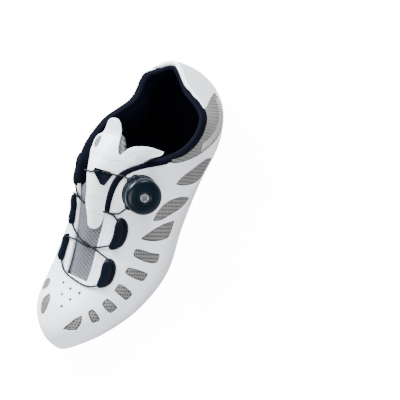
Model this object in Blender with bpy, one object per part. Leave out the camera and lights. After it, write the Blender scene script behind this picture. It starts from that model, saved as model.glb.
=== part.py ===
"""Left cycling shoe with a lace dial, empty and standing on its sole.

+X runs from heel to toe, +Y to the outer (lateral) side of the foot and +Z up. The origin lies on the floor, in
the middle of the heel pad. The outer form of the upper is one function of three shares: the station s from heel
back to toe tip, the girth t from feather edge to crown, and the side. Every other piece takes its place from it.
"""

import math
from typing import NamedTuple

import bmesh
import bpy
import numpy as np
from mathutils import Matrix, Vector
from mathutils.bvhtree import BVHTree

# Driving sizes, in metres
UPPER_LENGTH = 0.284
BALL_WIDTH = 0.1045
INSTEP_HEIGHT = 0.095
HEEL_HEIGHT = 0.081
HEEL_STACK = 0.017
HEEL_LEAN = 0.020
COLLAR_NARROWING = 0.011
HEEL_BACK_TO_ORIGIN = 0.036

# Upper
WALL = 0.0026
FEATHER_INSET = 0.004
FEATHER_REACH = 0.22
SIDE_FULLNESS = 0.80
TOP_FULLNESS = 0.85
LEAN_POWER = 2.0
THROAT_FRONT = 0.796
WINDOW_DEPTH = 0.0009
WINDOW_CLEAR = 0.002
SIDE_STATIONS = 27
TOE_STATIONS = 11
GIRTH_SHARES = (0.0, 0.06, 0.13, 0.22, 0.33, 0.45, 0.58, 0.71, 0.83, 0.92, 1.0)
VAMP_STEPS = 4

# Clearance between touching pieces
GAP = 0.0003
LINING_GAP = 0.0005

# Sole
PLATE_INSET = 0.0043
PLATE_TUCK = 0.0075
PAD_INSET = 0.0105
PAD_OVERLAP = 0.002
PAD_DRAFT = 0.0020
HEEL_PAD = (0.028, 0.235)
FORE_PAD = (0.585, 0.955)
FORE_FLAT_END = 0.775
TOE_PAD_LIFT = 0.008
GROOVE_WIDTH = 0.0026
GROOVE_DEPTH = 0.0016
HEEL_GROOVES = (0.078, 0.176)
FORE_GROOVES = (0.655, 0.745, 0.835, 0.885)

# Insole
INSOLE_THICKNESS = 0.003
INSOLE_INSET = 0.0085

# Collar lining
COLLAR_PAD = 0.0052
THROAT_PAD = 0.0024
COLLAR_DEPTH = 0.42
THROAT_DEPTH = 0.16
LINING_RISE = 0.0022
LINING_END_LATERAL = 0.60
LINING_END_MEDIAL = 0.555
PAD_TAPER_START = 0.34
PAD_TAPER_END = 0.47

# Tongue
TONGUE_THICKNESS = 0.0036
OVERLAY_THICKNESS = 0.0009
TUNNEL_AT = 0.606
TUNNEL_HALF = 0.046
TUNNEL_RISE = 0.0036
PATCH_HEIGHT = 0.0022
PATCH_GAP = 0.0008
PATCH_CORNERS = ((0.512, -0.045), (0.508, 0.132), (0.551, 0.070))

# Dial
DIAL_PLACE = (0.517, 0.635)
DIAL_LEAN = (0.20, -0.06)
DIAL_RADIUS = 0.0148
DIAL_BASE_HEIGHT = 0.0055
DIAL_KNOB_RADIUS = 0.0146
DIAL_KNOB_HEIGHT = 0.0080
DIAL_CAP_RADIUS = 0.0042
DIAL_CAP_HEIGHT = 0.0008
DIAL_SIDES = 24
DIAL_CLEAR = 0.0008

# Lace
LACE_RADIUS = 0.00075
LACE_SIDES = 6
LACE_STEPS = 3
LACE_FINE = 12
LACE_REACH = 0.0026
LACE_CLEAR = 0.0007


class Plan(NamedTuple):
    """A row of the last's plan: half widths and ridge as shares of BALL_WIDTH, feather of HEEL_STACK."""

    lateral: float
    medial: float
    ridge: float
    feather: float
    plate: float


class Crown(NamedTuple):
    """A row of the last's height: crowns are shares of the way up from the feather line.

    The full way ends at HEEL_HEIGHT where heel is 1 and at INSTEP_HEIGHT where it is 0.
    """

    heel: float
    crown_lateral: float
    crown_medial: float
    open_lateral: float
    open_medial: float


class Rim(NamedTuple):
    """A row of the opening: leans are shares of HEEL_LEAN and COLLAR_NARROWING, edges of the girth."""

    forward: float
    narrow_lateral: float
    narrow_medial: float
    edge_lateral: float
    edge_medial: float


# Rows are evenly spaced in station, from the heel's back to the toe's tip
PLAN = (
    Plan(0.000, 0.000, 0.000, 1.00, 0.60),
    Plan(0.158, 0.158, 0.000, 0.97, 0.57),
    Plan(0.325, 0.297, 0.000, 0.91, 0.52),
    Plan(0.421, 0.311, 0.000, 0.85, 0.45),
    Plan(0.431, 0.321, 0.000, 0.82, 0.42),
    Plan(0.464, 0.402, -0.019, 0.65, 0.28),
    Plan(0.526, 0.474, -0.029, 0.47, 0.14),
    Plan(0.440, 0.507, -0.038, 0.44, 0.12),
    Plan(0.273, 0.435, -0.048, 0.59, 0.28),
    Plan(0.100, 0.249, -0.057, 0.82, 0.52),
    Plan(-0.057, 0.057, -0.057, 1.00, 0.68),
)
CROWN = (
    Crown(1.0, 0.987, 0.987, 1.00, 1.00),
    Crown(1.0, 1.000, 1.000, 1.00, 1.00),
    Crown(1.0, 0.926, 0.938, 1.00, 1.00),
    Crown(0.5, 0.713, 0.755, 1.00, 1.00),
    Crown(0.0, 0.654, 0.889, 1.00, 0.88),
    Crown(0.0, 1.000, 1.000, 0.35, 0.68),
    Crown(0.0, 0.667, 0.667, 0.08, 0.08),
    Crown(0.0, 0.463, 0.463, 0.00, 0.00),
    Crown(0.0, 0.419, 0.419, 0.00, 0.00),
    Crown(0.0, 0.273, 0.273, 0.00, 0.00),
    Crown(0.0, 0.000, 0.000, 0.00, 0.00),
)
RIM = (
    Rim(1.00, 0.00, 0.00, 1.00, 1.00),
    Rim(0.90, 0.64, 0.36, 1.00, 1.00),
    Rim(0.55, 1.00, 0.32, 1.00, 1.00),
    Rim(0.10, -0.62, 0.05, 1.00, 1.00),
    Rim(0.00, -0.42, 0.00, 1.00, 1.00),
    Rim(0.00, -0.18, 0.00, 0.96, 1.00),
    Rim(0.00, 0.00, 0.00, 0.93, 0.88),
    Rim(0.00, 0.00, 0.00, 0.85, 0.92),
    Rim(0.00, 0.00, 0.00, 0.85, 0.92),
    Rim(0.00, 0.00, 0.00, 0.85, 0.92),
    Rim(0.00, 0.00, 0.00, 0.85, 0.92),
)


class TongueRow(NamedTuple):
    """A cross row of the tongue: along is a share of UPPER_LENGTH, y of BALL_WIDTH, z of INSTEP_HEIGHT.

    The lip points lie beside the throat edges, the skirt points are tucked under the upper.
    """

    along: float
    medial_skirt_y: float
    medial_skirt_z: float
    medial_lip_y: float
    medial_lip_z: float
    middle_y: float
    middle_z: float
    lateral_lip_y: float
    lateral_lip_z: float
    lateral_skirt_y: float
    lateral_skirt_z: float


TONGUE = (
    TongueRow(0.835, -0.270, 0.350, -0.150, 0.395, -0.030, 0.410, 0.080, 0.395, 0.190, 0.355),
    TongueRow(0.780, -0.260, 0.395, -0.145, 0.435, -0.025, 0.462, 0.095, 0.435, 0.210, 0.395),
    TongueRow(0.700, -0.260, 0.490, -0.150, 0.545, -0.030, 0.600, 0.090, 0.545, 0.220, 0.490),
    TongueRow(0.605, -0.270, 0.655, -0.185, 0.710, -0.010, 0.785, 0.115, 0.730, 0.250, 0.665),
    TongueRow(0.530, -0.260, 0.800, -0.220, 0.890, -0.015, 0.985, 0.145, 0.885, 0.240, 0.805),
    TongueRow(0.465, -0.230, 0.840, -0.220, 0.940, 0.000, 1.042, 0.180, 0.935, 0.222, 0.800),
    TongueRow(0.435, -0.220, 0.860, -0.212, 0.958, 0.000, 1.050, 0.190, 0.975, 0.240, 0.905),
    TongueRow(0.415, -0.212, 0.880, -0.205, 0.972, 0.000, 1.055, 0.215, 1.005, 0.315, 0.955),
    TongueRow(0.395, -0.204, 0.905, -0.196, 0.985, 0.000, 1.068, 0.265, 1.015, 0.400, 0.935),
    TongueRow(0.365, -0.200, 0.930, -0.190, 1.010, -0.030, 1.140, 0.265, 1.020, 0.400, 0.935),
)
TONGUE_PARTS = ("medial_skirt", "medial_lip", "middle", "lateral_lip", "lateral_skirt")
TONGUE_TOP = 0.398
TONGUE_STEPS = 22
OVERLAY_GAP = 0.0009
TAB_TIP = 0.366


class OverlayRow(NamedTuple):
    """A cross row of the white overlay: along as above, edges as shares of the tongue's half widths."""

    along: float
    lateral: float
    medial: float


OVERLAY = (
    OverlayRow(0.656, 0.10, 0.10),
    OverlayRow(0.648, 0.24, 0.22),
    OverlayRow(0.625, 0.20, 0.24),
    OverlayRow(0.606, 0.17, 0.22),
    OverlayRow(0.580, 0.32, 0.30),
    OverlayRow(0.530, 0.37, 0.38),
    OverlayRow(0.480, 0.40, 0.40),
    OverlayRow(0.450, 0.42, 0.41),
    OverlayRow(0.430, 0.60, 0.42),
    OverlayRow(0.415, 0.88, 0.42),
    OverlayRow(0.402, 0.90, 0.42),
    OverlayRow(0.396, 0.24, 0.24),
    OverlayRow(0.378, 0.17, 0.17),
    OverlayRow(0.366, 0.08, 0.08),
)


class Window(NamedTuple):
    """A mesh window: its middle line from top to bottom as (length share, girth), and its half widths in metres."""

    name: str
    top: tuple
    bottom: tuple
    top_half: float
    middle_half: float
    bottom_half: float


WINDOWS = (
    Window("waist", (0.424, 0.47), (0.290, 0.20), 0.0008, 0.0048, 0.0012),
    Window("arch", (0.561, 0.41), (0.425, 0.13), 0.0008, 0.0055, 0.0012),
    Window("wedge", (0.623, 0.51), (0.520, 0.13), 0.0008, 0.0052, 0.0066),
    Window("bar_1", (0.664, 0.54), (0.638, 0.23), 0.0026, 0.0034, 0.0030),
    Window("bar_2", (0.714, 0.53), (0.706, 0.28), 0.0026, 0.0034, 0.0030),
    Window("bar_3", (0.767, 0.54), (0.772, 0.33), 0.0026, 0.0036, 0.0032),
    Window("bar_4", (0.816, 0.56), (0.830, 0.35), 0.0024, 0.0034, 0.0032),
    Window("bar_5", (0.858, 0.60), (0.881, 0.41), 0.0018, 0.0028, 0.0030),
    Window("toe", (0.943, 0.73), (0.897, 0.58), 0.0010, 0.0042, 0.0048),
)
WINDOW_STEPS = 4


class PanelRow(NamedTuple):
    """A row of the mesh panel under the ankle: along as a share of UPPER_LENGTH, limits as girths."""

    along: float
    low: float
    high: float


ANKLE_PANEL = (
    PanelRow(0.070, 0.36, 0.44),
    PanelRow(0.110, 0.27, 0.70),
    PanelRow(0.165, 0.27, 0.965),
    PanelRow(0.220, 0.33, 0.965),
    PanelRow(0.290, 0.50, 0.965),
    PanelRow(0.345, 0.76, 0.965),
    PanelRow(0.385, 0.90, 0.965),
)


class Guide(NamedTuple):
    """A lace guide: side, both ends as (length share, girth), half width and height in metres, bow in girth."""

    name: str
    side: int
    rear: tuple
    front: tuple
    half_width: float
    height: float
    bow: float


GUIDES = (
    Guide("guide_lateral_rear", 1, (0.602, 0.775), (0.678, 0.775), 0.0048, 0.0046, -0.055),
    Guide("guide_lateral_front", 1, (0.713, 0.770), (0.786, 0.705), 0.0048, 0.0046, -0.050),
    Guide("guide_medial_top", -1, (0.478, 0.90), (0.560, 0.88), 0.0040, 0.0044, 0.0),
    Guide("guide_medial_middle", -1, (0.586, 0.82), (0.656, 0.76), 0.0038, 0.0044, 0.0),
    Guide("guide_medial_front", -1, (0.694, 0.76), (0.762, 0.77), 0.0038, 0.0044, 0.0),
)
GUIDE_STEPS = 7
GUIDE_CLEAR = 0.0006


class Strand(NamedTuple):
    """A run of lace over the pieces below it: points of (length share, width share, height over them)."""

    name: str
    points: tuple


STRANDS = (
    Strand("lace_top_lateral", ((0.497, 0.250, 0.1), (0.503, 0.210, 0.1), (0.511, 0.175, 0.1))),
    Strand("lace_top_medial", ((0.511, -0.052, 0.1), (0.502, -0.130, 0.1), (0.497, -0.222, 0.1))),
    Strand(
        "lace_crossing_rear",
        ((0.567, -0.205, 0.2), (0.590, -0.150, 0.1), (0.605, -0.040, 0.1), (0.606, 0.090, 0.1), (0.597, 0.225, 0.2)),
    ),
    Strand(
        "lace_crossing_rear",
        ((0.578, -0.240, 0.2), (0.594, -0.150, 0.1), (0.600, -0.040, 0.1), (0.601, 0.090, 0.1), (0.572, 0.225, 0.2)),
    ),
    Strand(
        "lace_crossing_front",
        ((0.687, 0.222, 0.2), (0.694, 0.110, 0.1), (0.703, 0.000, 0.1), (0.698, -0.120, 0.1), (0.689, -0.215, 0.2)),
    ),
    Strand(
        "lace_crossing_front",
        ((0.703, 0.225, 0.2), (0.704, 0.110, 0.1), (0.698, 0.000, 0.1), (0.684, -0.130, 0.1), (0.664, -0.215, 0.2)),
    ),
    Strand(
        "lace_front_bar",
        ((0.768, -0.245, 0.2), (0.792, -0.160, 0.1), (0.804, 0.000, 0.1), (0.803, 0.125, 0.1), (0.792, 0.210, 0.2)),
    ),
)


def spline(values, share):
    """A Catmull-Rom curve through evenly spaced values, read at a share from 0 to 1."""
    values = np.asarray(values, float)
    ends = np.concatenate([[2 * values[0] - values[1]], values, [2 * values[-1] - values[-2]]])
    place = np.clip(np.asarray(share, float), 0, 1) * (len(values) - 1)
    row = np.clip(place.astype(int), 0, len(values) - 2)
    f = place - row
    a, b, c, d = ends[row], ends[row + 1], ends[row + 2], ends[row + 3]
    return 0.5 * (2 * b + (c - a) * f + (2 * a - 5 * b + 4 * c - d) * f**2 + (3 * b - a - 3 * c + d) * f**3)


def column(table, name, s):
    """One named column of a section table at station s."""
    return spline([getattr(row, name) for row in table], s)


def along(s):
    """Length share at station s: stations crowd towards both ends."""
    return (1 - np.cos(np.pi * np.asarray(s, float))) / 2


def station(share):
    """Station at a length share."""
    return np.arccos(1 - 2 * np.clip(np.asarray(share, float), 0, 1)) / np.pi


def sided(name, side):
    """The column name for a side."""
    return name + ("_lateral" if side > 0 else "_medial")


def half_width(s, side):
    return BALL_WIDTH * column(PLAN, "lateral" if side > 0 else "medial", s)


def feather(s):
    return HEEL_STACK * column(PLAN, "feather", s)


def crown(s, side):
    """Height of the crown over the floor."""
    heel, low = column(CROWN, "heel", s), feather(s)
    full = heel * HEEL_HEIGHT + (1 - heel) * INSTEP_HEIGHT
    return low + column(CROWN, sided("crown", side), s) * (full - low)


def edge(s, side):
    """Girth of the opening's edge."""
    return np.minimum(column(RIM, sided("edge", side), s), 1.0)


def plan_normal(s, side):
    """Outward direction of the plan outline at station s."""
    step = 1e-3
    s0, s1 = np.clip(s - step, 0, 1), np.clip(s + step, 0, 1)
    dx = UPPER_LENGTH * (along(s1) - along(s0))
    dy = side * (half_width(s1, side) - half_width(s0, side))
    length = np.hypot(dx, dy) + 1e-12
    return -dy * side / length, dx * side / length


def surface(s, t, side):
    """Outer surface of the upper at station s and girth t."""
    s, t = np.broadcast_arrays(np.asarray(s, float), np.asarray(t, float))
    middle = BALL_WIDTH * column(PLAN, "ridge", s)
    low, high = feather(s), crown(s, side)
    openness = np.maximum(column(CROWN, sided("open", side), s), 0.0)
    openness = np.where(along(s) >= THROAT_FRONT, 0.0, openness)
    reach = np.cos(np.pi * t / 2).clip(0) ** SIDE_FULLNESS
    rise = np.sin(np.pi * t / 2).clip(0) ** TOP_FULLNESS
    y = middle + (side * half_width(s, side) - middle) * (openness + (1 - openness) * reach)
    z = low + (high - low) * (openness * t + (1 - openness) * rise)
    nx, ny = plan_normal(s, side)
    inset = FEATHER_INSET * np.clip(1 - t / FEATHER_REACH, 0, 1) ** 2
    lean = t**LEAN_POWER
    x = UPPER_LENGTH * along(s) - HEEL_BACK_TO_ORIGIN + HEEL_LEAN * column(RIM, "forward", s) * lean
    y = y - side * COLLAR_NARROWING * column(RIM, sided("narrow", side), s) * lean
    return np.stack([x - nx * inset, y - ny * inset, z], -1)


def normal(s, t, side):
    """Outward normal of the outer surface."""
    step = 2e-3
    ds = surface(np.minimum(s + step, 1), t, side) - surface(np.maximum(s - step, 0), t, side)
    dt = surface(s, np.minimum(t + step, 1), side) - surface(s, np.maximum(t - step, 0), side)
    n = -side * np.cross(ds, dt)
    return n / (np.linalg.norm(n, axis=-1, keepdims=True) + 1e-12)


def lifted(s, t, side, height):
    """Point at a height over the outer surface, or under it where height is negative."""
    return surface(s, t, side) + normal(s, t, side) * height


class Finish(NamedTuple):
    """Colour, roughness and metallic of a kind of surface."""

    colour: tuple
    roughness: float
    metallic: float = 0.0


WHITE = Finish((0.80, 0.81, 0.84), 0.35)
GREY = Finish((0.30, 0.31, 0.32), 0.8)
BLACK_CLOTH = Finish((0.012, 0.014, 0.02), 0.8)
BLACK_PLASTIC = Finish((0.012, 0.014, 0.018), 0.3)
SOLE_PLASTIC = Finish((0.05, 0.05, 0.055), 0.5)
SILVER = Finish((0.55, 0.56, 0.58), 0.3, 0.9)


def finish_object(name, builder, finish):
    """Turns a bmesh into a named object with its own material."""
    bmesh.ops.remove_doubles(builder, verts=builder.verts, dist=1e-6)
    mesh = bpy.data.meshes.new(name)
    builder.to_mesh(mesh)
    builder.free()
    mesh.shade_smooth()
    mesh.set_sharp_from_angle(angle=math.radians(40))
    made = bpy.data.materials.new(name)
    made.use_nodes = True
    shader = made.node_tree.nodes["Principled BSDF"]
    shader.inputs["Base Color"].default_value = (*finish.colour, 1.0)
    shader.inputs["Roughness"].default_value = finish.roughness
    shader.inputs["Metallic"].default_value = finish.metallic
    mesh.materials.append(made)
    piece = bpy.data.objects.new(name, mesh)
    bpy.context.scene.collection.objects.link(piece)
    return piece


def add_grid(builder, rows, flip=False, wrap=False):
    """Adds a grid of points, given as rows, as quads. wrap joins the last column to the first."""
    verts = [[builder.verts.new(p) for p in row] for row in rows]
    count = len(rows[0])
    for i in range(len(rows) - 1):
        for j in range(count if wrap else count - 1):
            k = (j + 1) % count
            quad = [verts[i][j], verts[i + 1][j], verts[i + 1][k], verts[i][k]]
            builder.faces.new(quad[::-1] if flip else quad)
    return verts


def add_loft(builder, rings):
    """Adds a closed solid from rings of equal count, with flat fans over both ends."""
    verts = add_grid(builder, rings, wrap=True)
    for ring, reverse in ((verts[0], False), (verts[-1], True)):
        builder.faces.new(ring[::-1] if reverse else ring)


def outward(builder):
    """Turns every closed shell of the mesh to face out."""
    bmesh.ops.remove_doubles(builder, verts=builder.verts, dist=1e-6)
    bmesh.ops.recalc_face_normals(builder, faces=builder.faces)


def boolean(target, other, operation):
    """Cuts or joins another object, which stays as a hidden guide."""
    other.hide_render = True
    other.display_type = "WIRE"
    step = target.modifiers.new(operation.title() + "_" + other.name, "BOOLEAN")
    step.operation = operation
    step.object = other
    step.solver = "EXACT"


def solidify(target, thickness):
    """Gives an open sheet its thickness, on the inner side."""
    step = target.modifiers.new("Thickness", "SOLIDIFY")
    step.thickness = thickness
    step.offset = -1
    step.use_even_offset = False
    step.use_quality_normals = True


def evaluated_tree(*objects):
    """A search tree over the finished shape of some objects."""
    bpy.context.view_layer.update()
    graph = bpy.context.evaluated_depsgraph_get()
    points, faces = [], []
    for piece in objects:
        mesh = piece.evaluated_get(graph).to_mesh()
        start = len(points)
        points += [piece.matrix_world @ v.co for v in mesh.vertices]
        faces += [[start + i for i in f.vertices] for f in mesh.polygons]
        piece.evaluated_get(graph).to_mesh_clear()
    return BVHTree.FromPolygons(points, faces)


def girth_scale(u, t, side):
    """Metres of the surface for one unit of girth."""
    s = station(u)
    return float(np.linalg.norm(surface(s, t + 0.01, side) - surface(s, t - 0.01, side))) / 0.02


def strip_rows(top, bottom, halves, bow, side, height, steps, ways=(-1, 0, 1)):
    """Points along a strip of the surface: rows down its middle line, one point for each way across."""
    top, bottom = np.array(top), np.array(bottom)
    centre = (top + bottom) / 2
    scale = np.array([UPPER_LENGTH, girth_scale(centre[0], centre[1], side)])
    run = (bottom - top) * scale
    across = np.array([-run[1], run[0]]) / np.hypot(*run)
    rows = []
    for i in range(steps + 1):
        share = i / steps
        at = top + (bottom - top) * share + np.array([0, bow * (4 * share * (1 - share))])
        row = []
        for way in ways:
            u, t = at + across * way * spline(halves, share) / scale
            row.append(lifted(station(u), t, side, height))
        rows.append(row)
    return rows


def window_rows(window, side, height):
    """Points of a window at a height over the surface."""
    halves = (window.top_half, window.middle_half, window.bottom_half)
    return strip_rows(window.top, window.bottom, halves, 0.0, side, height, WINDOW_STEPS)


def panel_rows(side, height):
    """Points of the ankle panel at a height over the surface."""
    rows = []
    for share in np.linspace(0, 1, 11):
        u, low, high = (spline([getattr(r, f) for r in ANKLE_PANEL], share) for f in PanelRow._fields)
        rows.append([lifted(station(u), t, side, height) for t in np.linspace(low, high, 5)])
    return rows


def add_prism(builder, top_rows, bottom_rows):
    """Adds the closed block between two matching grids."""
    def ring(rows):
        return rows[0][:-1] + [row[-1] for row in rows[:-1]] + rows[-1][:0:-1] + [row[0] for row in rows[:0:-1]]

    add_grid(builder, top_rows)
    add_grid(builder, bottom_rows, flip=True)
    add_grid(builder, [ring(bottom_rows), ring(top_rows)], wrap=True)


def side_stations():
    """Stations of the side walls, from the heel's back to the throat's front."""
    return np.linspace(0, station(THROAT_FRONT), SIDE_STATIONS)


def build_upper():
    """The hollow upper: one wall, open at collar, throat and underneath, with its mesh windows stepped in."""
    throat = station(THROAT_FRONT)
    stations = np.concatenate([side_stations(), np.linspace(throat, 1, TOE_STATIONS + 1)[1:]])
    builder = bmesh.new()
    for side in (1, -1):
        rows = [[surface(s, edge(s, side) * g, side) for g in GIRTH_SHARES] for s in stations]
        add_grid(builder, rows, flip=side > 0)
    vamp = []
    for s in stations[SIDE_STATIONS - 1 :]:
        left, right = edge(s, 1), edge(s, -1)
        over = [(t, 1) for t in np.linspace(left, 1, VAMP_STEPS)]
        over += [(t, -1) for t in np.linspace(1, right, VAMP_STEPS)[1:]]
        vamp.append([surface(s, t, side) for t, side in over])
    add_grid(builder, vamp, flip=True)
    upper = finish_object("upper", builder, WHITE)
    solidify(upper, WALL)

    cuts = bmesh.new()
    for side in (1, -1):
        for window in WINDOWS:
            add_prism(cuts, window_rows(window, side, WINDOW_CLEAR), window_rows(window, side, -WINDOW_DEPTH))
        add_prism(cuts, panel_rows(side, WINDOW_CLEAR), panel_rows(side, -WINDOW_DEPTH))
    outward(cuts)
    boolean(upper, finish_object("window_cutter", cuts, WHITE), "DIFFERENCE")
    return upper


def sole_ring(s, plate_low):
    """Cross ring of the sole plate at station s, from the lateral top edge round underneath."""
    top = feather(s) - GAP
    points = []
    for side, order in ((1, 1), (-1, -1)):
        nx, ny = plan_normal(s, side)
        rim = surface(s, 0.0, side) + FEATHER_INSET * np.array([nx, ny, 0])
        stops = [(PLATE_INSET, top), (PLATE_INSET + 0.0008, top - 0.0018), (PLATE_TUCK, plate_low + 0.001),
                 (PAD_INSET, plate_low)]
        part = [(rim[0] - nx * inset, rim[1] - ny * inset, z) for inset, z in stops]
        points += part[::order]
    return points


def add_pad(builder, start, end, low_at):
    """Adds a tread pad with rounded ends under the plate, between two length shares."""
    rings = []
    for share in np.linspace(0, 1, 15):
        u = start + (end - start) * (1 - math.cos(math.pi * share)) / 2
        s = station(u)
        x = UPPER_LENGTH * u - HEEL_BACK_TO_ORIGIN
        left, right = half_width(s, 1), -half_width(s, -1)
        middle = (left + right) / 2
        rounding = math.sqrt(max(0.1, 1 - abs(math.cos(math.pi * share)) ** 5))
        half = ((left - right) / 2 - PAD_INSET) * rounding
        top = HEEL_STACK * column(PLAN, "plate", s) + PAD_OVERLAP
        low = low_at(u)
        ring = [(x, middle + half, top), (x, middle + half - PAD_DRAFT, low)]
        ring += [(x, middle - half + PAD_DRAFT, low), (x, middle - half, top)]
        rings.append(ring)
    add_loft(builder, rings)


def fore_pad_low(share):
    """Underside of the forefoot pad: flat under the ball, then up with the toe spring."""
    past = max(0.0, share - FORE_FLAT_END) / (1 - FORE_FLAT_END)
    return TOE_PAD_LIFT * past**1.6


def build_outsole():
    """Stiff sole plate with arch and toe spring, a heel pad and a forefoot pad, both with cross grooves."""
    builder = bmesh.new()
    stations = np.linspace(0.012, 0.988, 34)
    add_loft(builder, [sole_ring(s, HEEL_STACK * column(PLAN, "plate", s)) for s in stations])
    outward(builder)
    outsole = finish_object("outsole", builder, SOLE_PLASTIC)
    for name, (start, end), low in (
        ("heel_pad_guide", HEEL_PAD, lambda share: 0.0),
        ("fore_pad_guide", FORE_PAD, fore_pad_low),
    ):
        pad = bmesh.new()
        add_pad(pad, start, end, low)
        outward(pad)
        boolean(outsole, finish_object(name, pad, SOLE_PLASTIC), "UNION")
    grooves = bmesh.new()
    for share in HEEL_GROOVES + FORE_GROOVES:
        low = fore_pad_low(share) if share > FORE_PAD[0] else 0.0
        at = Vector((UPPER_LENGTH * share - HEEL_BACK_TO_ORIGIN, 0, low - GROOVE_DEPTH))
        size = Matrix.Diagonal((GROOVE_WIDTH, 2 * BALL_WIDTH, 4 * GROOVE_DEPTH, 1))
        bmesh.ops.create_cube(grooves, size=1, matrix=Matrix.Translation(at) @ size)
    outward(grooves)
    boolean(outsole, finish_object("groove_cutter", grooves, SOLE_PLASTIC), "DIFFERENCE")
    return outsole


def build_insole():
    """Thin footbed over the sole plate, inside the upper's lasting edge."""
    builder = bmesh.new()
    rings = []
    for s in np.linspace(0.05, 0.955, 26):
        ring = []
        for side in (1, -1):
            nx, ny = plan_normal(s, side)
            rim = surface(s, 0.0, side) + (FEATHER_INSET - INSOLE_INSET) * np.array([nx, ny, 0])
            part = [(rim[0], rim[1], feather(s) + INSOLE_THICKNESS), (rim[0], rim[1], feather(s))]
            ring += part[::side]
        rings.append(ring)
    add_loft(builder, rings)
    outward(builder)
    return finish_object("insole", builder, BLACK_CLOTH)


def build_collar_lining():
    """Black padded lining inside the collar, which runs on as a thin binding along both throat edges."""
    steps = side_stations()
    places = [(s, 1) for s in steps[::-1] if along(s) <= LINING_END_LATERAL]
    places += [(s, -1) for s in steps[1:] if along(s) <= LINING_END_MEDIAL]
    rings = []
    for s, side in places:
        taper = np.clip((float(along(s)) - PAD_TAPER_START) / (PAD_TAPER_END - PAD_TAPER_START), 0, 1)
        taper = taper * taper * (3 - 2 * taper)
        pad = COLLAR_PAD + (THROAT_PAD - COLLAR_PAD) * taper
        depth = COLLAR_DEPTH + (THROAT_DEPTH - COLLAR_DEPTH) * taper
        top = float(edge(s, side))
        outer = WALL + LINING_GAP
        rim = surface(s, top, side)
        up = rim - surface(s, top - 0.05, side)
        up = up / np.linalg.norm(up)
        n = normal(s, top - 0.01, side)
        ring = [lifted(s, top - depth, side, -outer), lifted(s, top - depth / 2, side, -outer)]
        for inward, rise in ((0.0, 0.0), (0.15, 0.7), (0.5, 1.0), (0.85, 0.65), (1.0, -0.6)):
            ring.append(rim - n * (outer + inward * pad) + up * rise * LINING_RISE)
        ring.append(lifted(s, top - depth / 2, side, -outer - pad))
        ring.append(lifted(s, top - depth, side, -outer - pad * 0.5))
        rings.append(ring)
    builder = bmesh.new()
    add_loft(builder, rings)
    outward(builder)
    return finish_object("collar_lining", builder, BLACK_CLOTH)


def tongue_point(u, v):
    """Point over the tongue at length share u and cross share v, lateral 1 to medial -1, throat edges at 0.5."""
    shares = [row.along for row in TONGUE]
    place = np.interp(-u, [-a for a in shares], np.linspace(0, 1, len(shares)))
    y, z = (
        spline([column(TONGUE, part + axis, place) for part in TONGUE_PARTS], (v + 1) / 2) for axis in ("_y", "_z")
    )
    return np.array([UPPER_LENGTH * u - HEEL_BACK_TO_ORIGIN, BALL_WIDTH * y, INSTEP_HEIGHT * z])


def tongue_normal(u, v):
    step = 4e-3
    du = tongue_point(u + step, v) - tongue_point(u - step, v)
    dv = tongue_point(u, v + step) - tongue_point(u, v - step)
    n = np.cross(du, dv)
    n = n / np.linalg.norm(n)
    return n if n[2] > 0 else -n


def over_tongue(u, v, height):
    return tongue_point(u, v) + tongue_normal(u, v) * height


def tongue_steps():
    """Length shares of the tongue's rows, closer together towards its top."""
    share = 1 - (1 - np.linspace(0, 1, TONGUE_STEPS)) ** 1.5
    return TONGUE[0].along + (TONGUE_TOP - TONGUE[0].along) * share


def build_tongue():
    """Padded tongue under the throat, from inside the vamp up to the instep."""
    builder = bmesh.new()
    add_grid(builder, [[tongue_point(u, v) for v in np.linspace(1, -1, 11)] for u in tongue_steps()])
    tongue = finish_object("tongue", builder, GREY)
    solidify(tongue, TONGUE_THICKNESS)
    return tongue


def tunnel_rise(u):
    """Extra height of the overlay where the lace crosses below it."""
    near = np.clip(1 - abs(u - TUNNEL_AT) / TUNNEL_HALF, 0, 1)
    return TUNNEL_RISE * near * near * (3 - 2 * near)


def build_tongue_overlay():
    """White overlay on the tongue, with its pull tab and the raised tunnel for the rear lace crossing."""
    shares = [row.along for row in OVERLAY]
    steps = [u for u in tongue_steps() if shares[-1] < u < shares[0]] + list(shares)
    rows = []
    for u in sorted(set(steps), reverse=True):
        place = np.interp(-u, [-a for a in shares], np.linspace(0, 1, len(shares)))
        lateral, medial = (np.interp(place, np.linspace(0, 1, len(OVERLAY)), [getattr(r, n) for r in OVERLAY])
                           for n in ("lateral", "medial"))
        height = OVERLAY_GAP + OVERLAY_THICKNESS + tunnel_rise(u)
        rows.append([over_tongue(u, v, height) for v in np.linspace(lateral, -medial, 7)])
    builder = bmesh.new()
    add_grid(builder, rows)
    overlay = finish_object("tongue_overlay", builder, WHITE)
    solidify(overlay, OVERLAY_THICKNESS)
    return overlay


def build_tongue_guide():
    """Triangular black lace guide in the middle of the tongue."""
    foot = OVERLAY_GAP + OVERLAY_THICKNESS + PATCH_GAP
    corners = [tongue_share(u, y) for u, y in PATCH_CORNERS]
    outline = []
    for i, corner in enumerate(corners):
        for other in (corners[i - 1], corners[(i + 1) % 3]):
            outline.append(np.array(corner) + (np.array(other) - corner) * 0.12)
        outline.append((np.array(corner) + corners[(i + 1) % 3]) / 2)
    rings = []
    centre = np.mean(outline, axis=0)
    profile = ((0.3, 0.0), (0.7, 0.0), (1.0, 0.0), (1.0, 0.6), (0.82, 1.0), (0.4, 1.0))
    for scale, height in ((k, foot + PATCH_HEIGHT * rise) for k, rise in profile):
        rings.append([over_tongue(*(centre + (p - centre) * scale), height) for p in outline])
    builder = bmesh.new()
    add_loft(builder, rings)
    outward(builder)
    return finish_object("tongue_guide", builder, BLACK_PLASTIC)


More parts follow.
